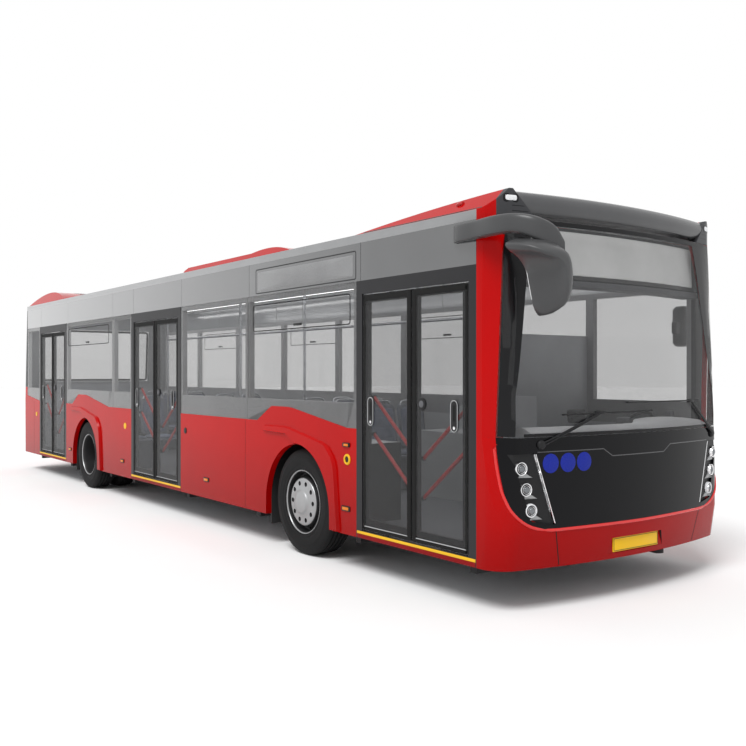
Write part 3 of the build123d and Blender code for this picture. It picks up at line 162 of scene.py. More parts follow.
def mixed(made, colour, share):
    """Mixes another colour into a material by a share."""
    tree = made.node_tree
    base = tree.nodes["Principled BSDF"].inputs["Base Color"]
    mix = node(tree, "Mix", data_type="RGBA", Factor=share)
    mix.inputs[MIX_TO].default_value = (*colour, 1)
    tree.links.new(base.links[0].from_socket, mix.inputs[MIX_FROM])
    tree.links.new(mix.outputs[MIX_RESULT], base)
    return made


def tint(made, axis, low, high, colour, amount=1.0, noise=0.0):
    """Turns the base colour towards another one between two places along an axis, in mm."""
    tree = made.node_tree
    place = node(tree, "TexCoord").outputs["Object"]
    value = node(tree, "SeparateXYZ", place).outputs[axis]
    if noise:
        cloud = node(tree, "TexNoise", place, Scale=2.2, Detail=6.0).outputs["Fac"]
        value = node(tree, "Math", cloud, noise / 1000, value, operation="MULTIPLY_ADD").outputs[0]
    shift = AXLE_X if axis == "X" else 0
    low, high = (low + shift) / 1000, (high + shift) / 1000
    span = node(tree, "MapRange", value, From_Min=low, From_Max=high, To_Max=amount)
    return mixed(made, colour, span.outputs[0])


def lined(made, colour, middle_x=None, limit=-0.25):
    """Gives faces that look towards the inside of the bus another colour."""
    tree = made.node_tree
    place = node(tree, "TexCoord").outputs
    if middle_x is None:
        centre, flatten = (0, 0, 1.4), (0, 1, 0.35)
    else:
        centre, flatten = at(middle_x, 0, 0), (1, 1, 0)
    away = node(tree, "VectorMath", place["Object"], centre, operation="SUBTRACT").outputs[0]
    flat = node(tree, "VectorMath", away, flatten, operation="MULTIPLY").outputs[0]
    facing = node(tree, "VectorMath", flat, place["Normal"], operation="DOT_PRODUCT").outputs["Value"]
    inward = node(tree, "Math", facing, limit, operation="LESS_THAN").outputs[0]
    return mixed(made, colour, inward)


RED = (0.46, 0.002, 0.002)
# painted shade: the darker red that the lower walls turn to
RED_PAINTED_SHADE = (0.20, 0.001, 0.001)
LINING = (0.42, 0.43, 0.44)


def red_paint(name):
    made = finish(name, RED, 0.12, vary=0.05, spread=0.05, grain=400, bump=0.01, spec=0.1)
    # painted shade: the red darkens towards the bottom, from 1150 mm down to 250 mm, standing in for the dark
    # ground's reflection
    return tint(made, "Z", 1150, 250, RED_PAINTED_SHADE, 0.7, 160)


def cloth(name, colour):
    """Woven fabric: crossing thread waves over a broad drift."""
    made = finish(name, colour, 0.85, vary=0.2, patch=9, grain=700, bump=0.2, Sheen_Weight=0.3)
    tree = made.node_tree
    place = node(tree, "TexCoord").outputs["Object"]
    height = None
    for way in "XYZ":
        thread = node(tree, "TexWave", place, bands_direction=way, Scale=260.0, Distortion=0.4).outputs["Fac"]
        height = node(tree, "Math", height, thread, operation="ADD").outputs[0] if height else thread
    weave = node(tree, "Bump", Height=height, Strength=0.35, Distance=0.001)
    tree.links.new(weave.outputs["Normal"], tree.nodes["Principled BSDF"].inputs["Normal"])
    return made


M = {
    "red": red_paint("red_paint"),
    # painted highlight: the lip is a lighter red than the body paint
    "lip": finish("red_lip", (0.68, 0.02, 0.02), 0.12, vary=0.05, grain=400, bump=0.01, spec=0.5),
    # near black for the rims' dishes: partly their dark paint, partly painted shade in the recess
    "drum": finish("wheel_black", (0.020, 0.020, 0.021), 0.4, grain=300, bump=0.04, spec=0.3),
    "strip_light": finish(
        "strip_light", (0.85, 0.86, 0.88), 0.3, Emission_Color=(1, 1, 1, 1), Emission_Strength=3.0
    ),
    "dash_top": finish("dash_top", (0.50, 0.505, 0.52), 0.5, grain=500, bump=0.15),
    "projector": finish("projector", (0.20, 0.21, 0.22), 0.06, spread=0.02, grain=60, bump=0, Metallic=0.8),
    "red_dark": finish("red_sill", (0.22, 0.004, 0.005), 0.4, spec=0.1),
    "red_lens": finish("red_lens", (0.36, 0.003, 0.003), 0.1, grain=60, spec=0.3),
    "amber": finish("amber_lens", (0.72, 0.20, 0.01), 0.12, grain=60, spec=0.3),
    "white_lens": finish("white_lens", (0.80, 0.81, 0.83), 0.12, grain=60, spec=0.4),
    "panel": finish("dark_panel", (0.055, 0.057, 0.06), 0.1, vary=0.15, spread=0.03, bump=0.004, IOR=2.2),
    "band": finish("glass_frit", (0.22, 0.222, 0.226), 0.3, bump=0.01),
    "frit": finish("black_frit", (0.010, 0.010, 0.011), 0.2, bump=0.01, spec=0.15),
    "mask": finish("black_mask", (0.004, 0.004, 0.005), 0.05, spread=0.02, bump=0.003, spec=0.14),
    "visor": finish("visor_grey", (0.056, 0.057, 0.06), 0.24, grain=500, bump=0.015, spec=0.5),
    "roof": finish("roof_grey", (0.27, 0.275, 0.28), 0.4, patch=0.8, bump=0.02),
    "frame": finish("door_frame", (0.022, 0.022, 0.024), 0.38, grain=600, bump=0.03, spec=0.2),
    "rubber": finish("rubber_seal", (0.010, 0.010, 0.010), 0.7, grain=250, bump=0.1, spec=0.15),
    "tyre": finish("tyre_rubber", (0.012, 0.012, 0.0125), 0.72, vary=0.3, grain=90, bump=0.15, spec=0.15),
    "silver": finish("wheel_silver", (0.34, 0.345, 0.35), 0.34, grain=300, bump=0.03, Metallic=0.5),
    "steel": finish("steel", (0.55, 0.56, 0.58), 0.25, stretch=(1, 1, 12), grain=80, Metallic=1.0),
    "chrome": finish("chrome", (0.85, 0.85, 0.86), 0.08, spread=0.03, Metallic=1.0),
    "iron": finish("iron", (0.16, 0.16, 0.17), 0.6, vary=0.3, grain=60, bump=0.3, Metallic=0.6),
    "chassis": finish("chassis_black", (0.018, 0.018, 0.019), 0.6, vary=0.35, grain=60, bump=0.06, spec=0.2),
    "floor": finish("floor_cover", (0.16, 0.165, 0.18), 0.65, vary=0.15, grain=300, bump=0.06),
    "inner": finish("inner_plastic", (0.42, 0.43, 0.45), 0.5, grain=350, bump=0.12),
    "dash": finish("dash_plastic", (0.09, 0.092, 0.1), 0.55, grain=500, bump=0.2),
    "shell": finish("seat_shell", (0.16, 0.17, 0.21), 0.45, grain=400, bump=0.12),
    "cloth": cloth("seat_cloth", (0.16, 0.18, 0.26)),
    "cab_cloth": cloth("cab_cloth", (0.035, 0.036, 0.042)),
    "black": finish("black_plastic", (0.014, 0.014, 0.015), 0.42, grain=450, bump=0.08, spec=0.2),
    "mirror": finish("mirror_grey", (0.058, 0.059, 0.061), 0.3, grain=600, bump=0.02, spec=0.35),
    "blue": finish("blue_disc", (0.010, 0.022, 0.28), 0.25, spec=0.15),
    "yellow": finish("yellow", (0.80, 0.46, 0.015), 0.4, vary=0.1, bump=0.05, spec=0.2),
    "plate": finish("plate_yellow", (0.84, 0.50, 0.012), 0.35, vary=0.05, spec=0.2),
    "sign": finish("sign_face", (0.80, 0.805, 0.80), 0.35, grain=300, bump=0.03),
    "line": finish("pale_line", (0.55, 0.56, 0.57), 0.4),
    "rail_red": finish("rail_red", (0.50, 0.012, 0.014), 0.35),
    "side_glass": finish("side_glass", (0.012, 0.013, 0.015), 0.04, spread=0.015, bump=0, Alpha=0.2, IOR=2.2),
    "door_glass": finish("door_glass", (0.008, 0.009, 0.010), 0.04, spread=0.015, bump=0, Alpha=0.3, IOR=1.8),
    "screen": finish("windscreen", (0.008, 0.009, 0.010), 0.03, spread=0.01, bump=0, Alpha=0.20, IOR=2.0),
    "lens": finish("clear_lens", (0.75, 0.77, 0.8), 0.05, spread=0.02, bump=0, Alpha=0.3),
}

# painted shade: the brow grey turns near black towards its lower lip, from 2775 mm down to 2716 mm
M["brow"] = tint(
    finish("brow_grey", (0.056, 0.057, 0.06), 0.22, grain=500, bump=0.015, spec=0.6),
    "Z", 2775, 2716, (0.008, 0.008, 0.009),
)
lined(M["red"], LINING)
# painted reflection: the cove panels turn lighter towards the rear
tint(M["panel"], "X", 1200, -9200, (0.46, 0.465, 0.47))
lined(M["panel"], LINING)
# painted reflection: the window band and the roof turn lighter towards the rear
tint(M["band"], "X", 0, -9200, (0.55, 0.555, 0.56))
tint(M["roof"], "X", 1200, -9200, (0.50, 0.505, 0.51))
lined(M["roof"], (0.75, 0.755, 0.76))
M["housing"] = finish("housing", (0.018, 0.018, 0.019), 0.6, vary=0.35, grain=60, bump=0.06)
lined(M["housing"], LINING, limit=-0.1)
M["fascia"] = lined(red_paint("fascia_paint"), (0.03, 0.03, 0.032), 1500)
M["fairing"] = tint(red_paint("fairing_paint"), "X", 2484, 2486, (0.055, 0.056, 0.06))
M["rear_wall"] = lined(tint(red_paint("rear_paint"), "Z", 1408, 1410, (0.03, 0.031, 0.033)), LINING, -8000)

NODE_MATERIALS = {
    "lower_wall_right": "red", "lower_wall_left": "red", "front_fascia": "fascia",
    "roof_fairing": "fairing", "rear_fascia": "rear_wall", "engine_lid": "red", "window_band": "band",
    "door_portals": "frame", "cove_panels": "panel", "roof_visor": "visor", "front_mask": "mask",
    "side_glass": "side_glass", "windscreen": "screen", "rear_window": "side_glass", "roof": "roof",
    "roof_pods": "red", "grab_poles": "steel", "underframe": "chassis", "axles": "iron",
    "wheel_housings": "housing", "knuckle_left": "iron", "knuckle_right": "iron", "floor": "floor",
    "dashboard": "dash", "cab_partition": "inner", "engine_housing": "inner", "passenger_seats": "cloth",
    "driver_seat": "cab_cloth", "mirrors": "mirror", "wipers": "black", "steering_wheel": "black",
    "lamps": "black", "engine": "iron",
}
ENDINGS = {
    "_rim": "silver", "_tyre": "tyre", "_tyres": "tyre", "_arm": "steel", "_leaf": "frame",
    "_glass": "door_glass",
}
for name, solid in nodes.items():
    kind = NODE_MATERIALS.get(name)
    if kind is None:
        kind = [value for ending, value in ENDINGS.items() if name.endswith(ending)][0]
    solid.data.materials.clear()
    solid.data.materials.append(M[kind])

# pale floor
FLOOR_HALF = 80
mesh = bpy.data.meshes.new("floor_plane")
corners = [(x * FLOOR_HALF, y * FLOOR_HALF, 0) for x, y in ((-1, -1), (1, -1), (1, 1), (-1, 1))]
mesh.from_pydata(corners, [], [(0, 1, 2, 3)])
ground = bpy.data.objects.new("floor_plane", mesh)
mesh.materials.append(finish("pale_floor", (0.96, 0.96, 0.96), 0.95, vary=0.005, bump=0, spec=0.0))
scene.collection.objects.link(ground)
ground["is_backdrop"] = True


# mesh helpers: a group is (verts in metres, faces)
def clean_mesh(name, verts, faces):
    """Mesh with doubled points joined and its faces turned outward."""
    mesh = bpy.data.meshes.new(name)
    mesh.from_pydata(verts, [], faces)
    work = bmesh.new()
    work.from_mesh(mesh)
    bmesh.ops.remove_doubles(work, verts=work.verts, dist=1e-6)
    bmesh.ops.recalc_face_normals(work, faces=work.faces)
    work.to_mesh(mesh)
    work.free()
    return mesh


def place_mesh(name, mesh, material, body, smooth):
    """Smooth-shaded piece that rides a body."""
    for face in mesh.polygons:
        face.use_smooth = True
    mesh.set_sharp_from_angle(angle=math.radians(smooth))
    mesh.materials.clear()
    mesh.materials.append(M[material])
    made = bpy.data.objects.new(name, mesh)
    scene.collection.objects.link(made)
    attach(made, body)
    return made


def joined(*groups):
    """Joins (verts, faces) groups into one."""
    verts, faces = [], []
    for more, sides in groups:
        start = len(verts)
        verts += list(more)
        faces += [[start + i for i in side] for side in sides]
    return verts, faces


def trim(name, material, *groups, body="coach", smooth=30, replaces=None, slot=None):
    """Piece made of mesh groups, with the solid that it replaces; its slot is not used."""
    made = place_mesh(name, clean_mesh(name, *joined(*groups)), material, body, smooth)
    if replaces:
        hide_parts(replaces)
    return made


def loft(rings, closed=True, caps=True):
    """Skins rings of equal length."""
    count = len(rings[0])
    verts = [point for ring in rings for point in ring]
    faces = []
    for r in range(len(rings) - 1):
        for i in range(count if closed else count - 1):
            j = (i + 1) % count
            faces.append((r * count + i, r * count + j, (r + 1) * count + j, (r + 1) * count + i))
    if caps:
        faces.append(tuple(range(count - 1, -1, -1)))
        last = (len(rings) - 1) * count
        faces.append(tuple(last + i for i in range(count)))
    return verts, faces


def lathe(profile, centre, axis, count=48, loop=False):
    """Turns (radius, height along the axis) points, in mm, about an axis through a point."""
    axis = Vector(axis).normalized()
    side = axis.orthogonal().normalized()
    other = axis.cross(side)
    verts, faces = [], []
    for k in range(count):
        a = 2 * math.pi * k / count
        out = side * math.cos(a) + other * math.sin(a)
        verts += [centre + out * (r / 1000) + axis * (h / 1000) for r, h in profile]
    n = len(profile)
    for k in range(count):
        m = (k + 1) % count
        for i in range(n if loop else n - 1):
            j = (i + 1) % n
            faces.append((k * n + i, k * n + j, m * n + j, m * n + i))
    return verts, faces


def sweep(points, radius, sides=10):
    """Round bar along points in metres, radius in mm."""
    rings = []
    for i, point in enumerate(points):
        ahead = points[min(i + 1, len(points) - 1)] - points[max(i - 1, 0)]
        side = ahead.cross(Vector((0.13, 0.29, 0.95))).normalized()
        other = ahead.cross(side).normalized()
        ring = []
        for k in range(sides):
            a = 2 * math.pi * k / sides
            ring.append(point + (side * math.cos(a) + other * math.sin(a)) * radius / 1000)
        rings.append(ring)
    return loft(rings)


def smooth_line(points, steps=6):
    """Catmull-Rom line through points."""
    ends = [points[0] * 2 - points[1]] + list(points) + [points[-1] * 2 - points[-2]]
    line = []
    for i in range(1, len(ends) - 2):
        p0, p1, p2, p3 = ends[i - 1 : i + 3]
        for k in range(steps):
            t = k / steps
            square, cube = 2 * p0 - 5 * p1 + 4 * p2 - p3, 3 * p1 - p0 - 3 * p2 + p3
            line.append(0.5 * (2 * p1 + (p2 - p0) * t + square * t * t + cube * t**3))
    return line + [points[-1]]


# skins: where a straight look from one side meets the CAD surface
REACH = 4.0


class Skin:
    def __init__(self, view, *names):
        verts, polys = [], []
        for name in names:
            base = len(verts)
            verts += [v.co.copy() for v in nodes[name].data.vertices]
            polys += [[base + i for i in face.vertices] for face in nodes[name].data.polygons]
        self.view = view
        self.bvh = BVHTree.FromPolygons(verts, polys)

    def hit(self, u, v):
        start, way = {
            "front": (at(4500, u, v), Vector((-1, 0, 0))),
            "rear": (at(-10500, u, v), Vector((1, 0, 0))),
            "right": (at(u, -4000, v), Vector((0, 1, 0))),
            "left": (at(u, 4000, v), Vector((0, -1, 0))),
            "top": (at(u, v, 6000), Vector((0, 0, -1))),
        }[self.view]
        point, normal, _, _ = self.bvh.ray_cast(start, way)
        if point is None or (point - start).length > REACH:
            return None
        return point, normal if normal.dot(way) < 0 else -normal


def on_skin(skin, u, v, off):
    found = skin.hit(u, v)
    if found is None:
        raise SystemExit(f"no surface seen from the {skin.view} at {u:.0f}, {v:.0f}")
    return found[0] + found[1] * (off / 1000)


def resample(path, step, loop=False):
    path = list(path) + ([path[0]] if loop else [])
    line = []
    for (u0, v0), (u1, v1) in zip(path, path[1:]):
        count = max(1, int(math.hypot(u1 - u0, v1 - v0) / step))
        line += [(u0 + (u1 - u0) * k / count, v0 + (v1 - v0) * k / count) for k in range(count)]
    return line if loop else line + [path[-1]]


def ribbon(skin, path, wide, high, loop=False, step=60):
    """Low strip lying on a skin along a path, with sloping edges."""
    line = resample(path, step, loop)
    rings = []
    count = len(line)
    for i, (u, v) in enumerate(line):
        before = line[(i - 1) % count] if loop or i else line[i]
        after = line[(i + 1) % count] if loop or i < count - 1 else line[i]
        du, dv = after[0] - before[0], after[1] - before[1]
        long = math.hypot(du, dv) or 1
        nu, nv = -dv / long, du / long
        spots = ((-0.5, -2), (-0.5, high * 0.4), (-0.36, high), (0.36, high), (0.5, high * 0.4), (0.5, -2))
        rings.append([on_skin(skin, u + nu * wide * s, v + nv * wide * s, off) for s, off in spots])
    if loop:
        return loft(rings + [rings[0]], caps=False)
    return loft(rings)


def rounded(u0, u1, v0, v1, radius, steps=6):
    """Outline of a rectangle with round corners."""
    radius = min(radius, (u1 - u0) / 2, (v1 - v0) / 2)
    outline = []
    for cu, cv, start in ((u1, v1, 0), (u0, v1, 90), (u0, v0, 180), (u1, v0, 270)):
        mu = cu - radius if cu == u1 else cu + radius
        mv = cv - radius if cv == v1 else cv + radius
        for k in range(steps + 1):
            a = math.radians(start + 90 * k / steps)
            outline.append((mu + radius * math.cos(a), mv + radius * math.sin(a)))
    return outline


def disc(u, v, radius, count=32):
    """Outline of a circle."""
    turns = [2 * math.pi * k / count for k in range(count)]
    return [(u + radius * math.cos(a), v + radius * math.sin(a)) for a in turns]


def patch(skin, outline, high, edge=4, sunk=2, crown=0.0):
    """Plate lying on a skin, with a rounded edge and a slightly crowned face."""
    cu = sum(u for u, _ in outline) / len(outline)
    cv = sum(v for _, v in outline) / len(outline)
    size = min(math.hypot(u - cu, v - cv) for u, v in outline)
    rings = []
    for inset, off in ((0, -sunk), (0, high * 0.5), (edge * 0.3, high * 0.85), (edge, high)):
        k = 1 - min(0.95, inset / size)
        rings.append([on_skin(skin, cu + (u - cu) * k, cv + (v - cv) * k, off) for u, v in outline])
    verts, faces = loft(rings, caps=False)
    count = len(outline)
    faces.append(tuple(range(count - 1, -1, -1)))
    verts.append(on_skin(skin, cu, cv, high + crown))
    start = (len(rings) - 1) * count
    faces += [(start + i, start + (i + 1) % count, len(verts) - 1) for i in range(count)]
    return verts, faces


def box_mesh(x0, x1, y0, y1, z0, z1, bevel=8, steps=2):
    """Box with rounded edges, in mm."""
    work = bmesh.new()
    bmesh.ops.create_cube(work, size=1)
    low, high = at(x0, y0, z0), at(x1, y1, z1)
    for v in work.verts:
        v.co = Vector([low[i] + (v.co[i] + 0.5) * (high[i] - low[i]) for i in range(3)])
    if bevel:
        edges = list(work.edges)
        bmesh.ops.bevel(work, geom=edges, offset=bevel / 1000, segments=steps, affect="EDGES", profile=0.5)
    verts = [v.co.copy() for v in work.verts]
    work.verts.index_update()
    faces = [[v.index for v in face.verts] for face in work.faces]
    work.free()
    return verts, faces


def carved(name, body, cutters):
    """Mesh of one group with others cut out of it."""
    made = []
    for group in (body, joined(*cutters)):
        made.append(bpy.data.objects.new(name, clean_mesh(name, *group)))
        scene.collection.objects.link(made[-1])
    cut = made[0].modifiers.new("cut", "BOOLEAN")
    cut.operation = "DIFFERENCE"
    cut.solver = "EXACT"
    cut.object = made[1]
    bpy.context.view_layer.update()
    mesh = bpy.data.meshes.new_from_object(made[0].evaluated_get(bpy.context.evaluated_depsgraph_get()))
    for spare in made:
        bpy.data.objects.remove(spare)
    mesh.name = name
    return mesh


# wheels: tyres with ribs and grooves, dished rims with hand holes, nuts and a hub cap
TYRE_W = 275
HALF_TYRE = [
    (291, 20), (296, 9), (306, 5), (318, 4), (322, 6), (330, 3), (352, 1), (385, 0.5), (398, 0.5), (401, 2.5),
    (428, 6), (450, 13), (464, 22), (473, 32), (476.5, 40), (477.5, 68), (466, 71), (466, 80), (478.5, 83),
    (479.5, 108), (466, 111), (466, 121), (479.8, 124), (480, 137.5),
]
TYRE = HALF_TYRE + [(r, TYRE_W - s) for r, s in reversed(HALF_TYRE[:-1])]
FRONT_FACE = [
    (290, 17), (287, 12), (282, 13), (277, 20), (271, 40), (267, 72), (262, 92), (254, 98), (242, 95),
    (232, 86), (225, 62), (220, 36), (215, 22), (207, 14), (196, 11), (142, 11), (134, 8), (122, 4),
    (112, 2), (104, -6), (98, -14), (86, -18), (40, -20), (0, -20.5),
]
FRONT_BACK = [
    (0, 19), (45.5, 19), (45.5, 154), (130, 154), (130, 125), (258, 125), (266, 150), (270, 256), (290, 256)
]
REAR_FACE = [
    (290, 17), (287, 12), (282, 13), (277, 20), (270, 40), (264, 76), (261, 226), (254, 262), (240, 280),
    (215, 286), (170, 286), (150, 284), (136, 270), (124, 225), (120, 160), (114, 146), (102, 141),
    (60, 140), (0, 140),
]
REAR_BACK = [
    (0, 169), (56, 169), (56, 449), (130, 449), (130, 334), (262, 334), (268, 380), (270, 590), (290, 590)
]
NUT = [(0, -14), (7, -14), (9, -8), (11, -7), (13, -4), (13, 8), (0, 8)]
NUTS = 10
NUT_DEEPER = 16
RECESS_R = 21
TWIN_STEP = 335
TWIN_WORN = 4
DISH_OUT = 276
DRUM_DEEP = 110
# end, axle, outer face, rim sections; hand holes: depths, circle, radius; nuts: circle, depth; dish radius
WHEELS = [
    ("front", 0, 1245, FRONT_FACE, FRONT_BACK, (60, 140), 246, 14, 170, 10, 216),
    ("rear", -WHEELBASE, 1250, REAR_FACE, REAR_BACK, (250, 360), 212, 25, 162, 286, 179),
]


def spot_on(centre, radius, turn):
    """Place on a wheel's circle, by a share of a turn."""
    a = 2 * math.pi * turn
    return centre + Vector((math.cos(a), 0, math.sin(a))) * radius / 1000


def peg(radius, start, stop):
    return [(0, start), (radius, start), (radius, stop), (0, stop)]


for end, x, outer, face, back, bore, hole_r, hole_wide, nut_r, nut_s, dish_in in WHEELS:
    steered = end == "front"
    for side, tag in SIDES[::-1]:
        name = f"{end}_{tag}"
        body = "wheel_" + name
        centre = at(x, side * outer, TYRE_R)
        inward = Vector((0, -side, 0))
        groups = [lathe(TYRE, centre, inward, 120, loop=True)]
        if not steered:
            twin = [(r - TWIN_WORN if r > 470 else r, s + TWIN_STEP) for r, s in TYRE]
            groups.append(lathe(twin, centre, inward, 96, loop=True))
        tyres = name + ("_tyre" if steered else "_tyres")
        trim(name + "_tread", "tyre", *groups, body=body, smooth=40, replaces=tyres)
        holes, recesses, nuts = [], [], []
        for k in range(NUTS):
            holes.append(lathe(peg(hole_wide, *bore), spot_on(centre, hole_r, (k + 0.5) / NUTS), inward, 20))
            spot = spot_on(centre, nut_r, k / NUTS)
            if steered:
                recesses.append(lathe(peg(RECESS_R, nut_s - 9, nut_s + NUT_DEEPER), spot, inward, 20))
            deep = nut_s + (NUT_DEEPER if steered else 0)
            nuts.append(lathe([(r, s + deep) for r, s in NUT], spot, inward, 6))
        rim = carved(name + "_wheel", lathe(face + back, centre, inward, 96, loop=True), holes + recesses)
        rim = place_mesh(name + "_wheel", rim, "silver", body, 35)
        # partly the rim's dark paint, partly painted shade: the dish, and on the front wheels the faces sunk
        # behind the nut recesses, take the near-black material
        rim.data.materials.append(M["drum"])
        for facet in rim.data.polygons:
            reach = facet.center - centre
            radius = math.hypot(reach.x, reach.z) * 1000
            deep = reach.dot(inward) * 1000
            dished = radius < DISH_OUT and (radius > dish_in or deep > DRUM_DEEP)
            facet.material_index = int(dished or steered and deep > nut_s + 3 and radius < 200)
        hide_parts(name + "_rim")
        # painted shade: the nuts are black so that they read as dark recesses
        trim(name + "_nuts", "black", *nuts, body=body, slot="chassis")

# doors: seals, dark borders, handle plates, buttons and foot lines, all on the leaves
DOORS = [("front", 905, 2345.09), ("middle", -4090, -2570), ("rear", -8155, -6755)]
POST_IN = 55
LEAF_GAP = 35
MEET_GAP = 5
LEAF_Z = (376, 2279)
GRIP_Z = (1222, 1456)
GRIP_IN = {"aft": 104, "fore": 140}
BUTTON = (118, 1416)
RAIL_Y = -1185
RAILS = ((700, 1150), (1000, 1450))
for name, x0, x1 in DOORS:
    arm = (x1 - x0) / 4 - POST_IN / 2 - MEET_GAP / 2 + LEAF_GAP / 2
    for end, post, way in (("aft", x0 + POST_IN, 1), ("fore", x1 - POST_IN, -1)):
        pivot = post + way * arm
        half = arm - LEAF_GAP
        tag = f"door_{name}_{end}"
        body = tag + "_leaf"
        skin = Skin("right", tag + "_glass")
        z0, z1 = LEAF_Z
        u0, u1 = pivot - half + 2, pivot + half - 2
        meet, hang = (u1, u0) if way > 0 else (u0, u1)
        spot = hang + way * GRIP_IN[end]
        g0, g1 = GRIP_Z
        border = [
            ribbon(skin, [(meet - way * 25, z0 + 1), (meet - way * 25, z1 - 1)], 48, 3),
            ribbon(skin, [(hang + way * 14, z0 + 1), (hang + way * 14, z1 - 1)], 26, 2),
            ribbon(skin, [(u0 + 5, z1 - 26), (u1 - 5, z1 - 26)], 48, 2),
            ribbon(skin, [(u0 + 5, z0 + 14), (u1 - 5, z0 + 14)], 26, 2),
        ]
        foot = ribbon(skin, [(u0 + 16, z0 + 30), (u1 - 16, z0 + 30)], 5, 2.5)
        grip = patch(skin, rounded(spot - 41, spot + 41, g0, g1, 41), 6, 5)
        grip_rim = ribbon(skin, rounded(spot - 36, spot + 36, g0 + 5, g1 - 5, 36), 5, 7.5, loop=True, step=40)
        grip_slot = patch(skin, rounded(spot - 13, spot + 13, g0 + 78, g1 - 36, 8), 6.6, 2)
        grip_dot = patch(skin, disc(spot, g0 + 32, 13), 8, 4, crown=2)
        made = [
            ("_foot_line", "line", foot), ("_grip", "black", grip), ("_grip_rim", "line", grip_rim),
            ("_grip_slot", "rubber", grip_slot), ("_grip_dot", "chrome", grip_dot),
        ]
        if end == "fore":
            spot = meet + BUTTON[0]
            made.append(("_button", "black", patch(skin, disc(spot, BUTTON[1], 48), 9, 6)))
            made.append(("_button_cap", "dash", patch(skin, disc(spot, BUTTON[1], 27), 13, 6, crown=2)))
        trim(tag + "_border", "rubber", *border, body=body, slot="door_frame")
        for part, kind, group in made:
            trim(tag + part, kind, group, body=body)
        # red sleeves on the rails inside the leaf
        reach = way * (half - 36)
        rails = []
        for near, far in RAILS:
            start, stop = at(pivot + reach, RAIL_Y, near), at(pivot - reach, RAIL_Y, far)
            rails.append(sweep([start + (stop - start) * k / 12 for k in range(13)], 15, 12))
        trim(tag + "_rails", "rail_red", *rails, body=body, smooth=50)
    # sill strips under the leaves
    skin = Skin("right", "door_portals")
    for kind, colour, z, wide, high in (("yellow", "yellow", 347, 22, 3), ("red", "red_dark", 318, 34, 1.5)):
        strip = ribbon(skin, [(x0 + 12, z), (x1 - 8, z)], wide, high, step=300)
        trim(f"sill_{kind}_{name}", colour, strip)

# sides: window vents, marker lamps and wall seams
VENT_Z = (2054, 2304)
VENTS = {"right": [(-857, 812), (-6640, -4915)], "left": [(-7300, -6100), (-4400, -3200), (-1500, -300)]}
MARKERS = [(-1901, 500), (-4398, 503), (-6560, 508)]
MARKERS = {"right": [(756, 516)] + MARKERS, "left": [(1450, 516)] + MARKERS + [(-8500, 520)]}
WALL_SEAMS = {"right": [-1021, -8480], "left": [-1021, 1180, -2900, -4700, -7450]}
walls = {view: Skin(view, "lower_wall_" + view) for _, view in SIDES}
for view, wall in walls.items():
    pane = Skin(view, "side_glass")
    for i, (u0, u1) in enumerate(VENTS[view]):
        middle = (u0 + u1) / 2
        line = ribbon(pane, rounded(u0, u1, *VENT_Z, 26), 9, 1.6, loop=True, step=140)
        trim(f"vent_{view}_{i}", "rubber", line)
        pull = patch(pane, rounded(middle - 70, middle + 70, 2078, 2100, 10), 6, 4)
        trim(f"vent_pull_{view}_{i}", "black", pull)
    bases = [patch(wall, rounded(u - 62, u + 62, v - 22, v + 22, 8), 9, 5) for u, v in MARKERS[view]]
    trim(f"marker_bases_{view}", "black", *bases)
    lenses = [rounded(u - 46, u + 46, v - 13, v + 13, 6) for u, v in MARKERS[view]]
    trim(f"marker_lenses_{view}", "amber", *[patch(wall, line, 14, 5, crown=2) for line in lenses])
    lines = [ribbon(wall, [(u, 305), (u, 1180)], 4, 0.8, step=200) for u in WALL_SEAMS[view]]
    trim(f"wall_seams_{view}", "rubber", *lines)

# door side: air valve, turn lamp, caps and the blank sign
wall = walls["right"]
VALVE = (774, 927)
VALVE_RING = [(27, 1), (27, 8), (33, 12), (42, 10), (46, 4), (46, 0)]
CAPS = [(-4303, 963, 40, "yellow"), (-8330, 969, 36, "yellow"), (-2440, 1000, 34, "black")]
trim("valve_ring", "yellow", lathe(VALVE_RING, on_skin(wall, *VALVE, 0), (0, -1, 0), 40))
trim("valve_cap", "black", patch(wall, disc(*VALVE, 27), 4, 5, crown=1))
trim("turn_lamp_base", "black", patch(wall, rounded(716, 816, 1030, 1066, 9), 16, 6))
trim("turn_lamp_lens", "amber", patch(wall, rounded(738, 806, 1037, 1059, 7), 21, 6, crown=2))
for i, (u, v, radius, kind) in enumerate(CAPS):
    trim(f"side_cap_{i}", kind, patch(wall, disc(u, v, radius), 6, 6, crown=2), slot="body_red")
cove = Skin("right", "cove_panels")
line = ribbon(cove, rounded(-800, 896, 2420, 2650, 18), 10, 1.5, loop=True, step=140)
trim("side_sign_frame", "frame", line, slot="dark_panel")
trim("side_sign_face", "band", patch(cove, rounded(-758, 854, 2446, 2622, 8), 0.9, 2))

# front end: three lamps a side, strips, blank discs and a blank plate
front = Skin("front", "front_fascia", "front_mask", "windscreen", "roof_fairing", "roof_visor")
mask = Skin("front", "front_mask", "lamps", "front_fascia")
bumper = Skin("front", "front_fascia")
screen = Skin("front", "windscreen")
lamps = Skin("front", "lamps")
HEADLAMPS = [(1113, 998), (1075, 854), (1034, 709)]
BEZEL = [(37, -6), (37, 8), (40, 12), (45, 11), (48, 3), (49, -10)]
BOWL = [(0, 1.5), (12, 2), (24, 4), (36, 9)]
LENS_RING = [(27, 3), (27, 12), (30, 14), (32, 10), (32, 4)]
LENS = [(26, 2), (25, 10), (20, 17), (11, 21), (0, 22.5)]
FIN = [(14, -62), (-100, -66), (-40, -30), (8, -46)]
DISCS = (-875, -726, -580)
HOOD = [(-985, 1106), (-390, 1106), (-300, 1052), (300, 1052), (390, 1106), (985, 1106)]
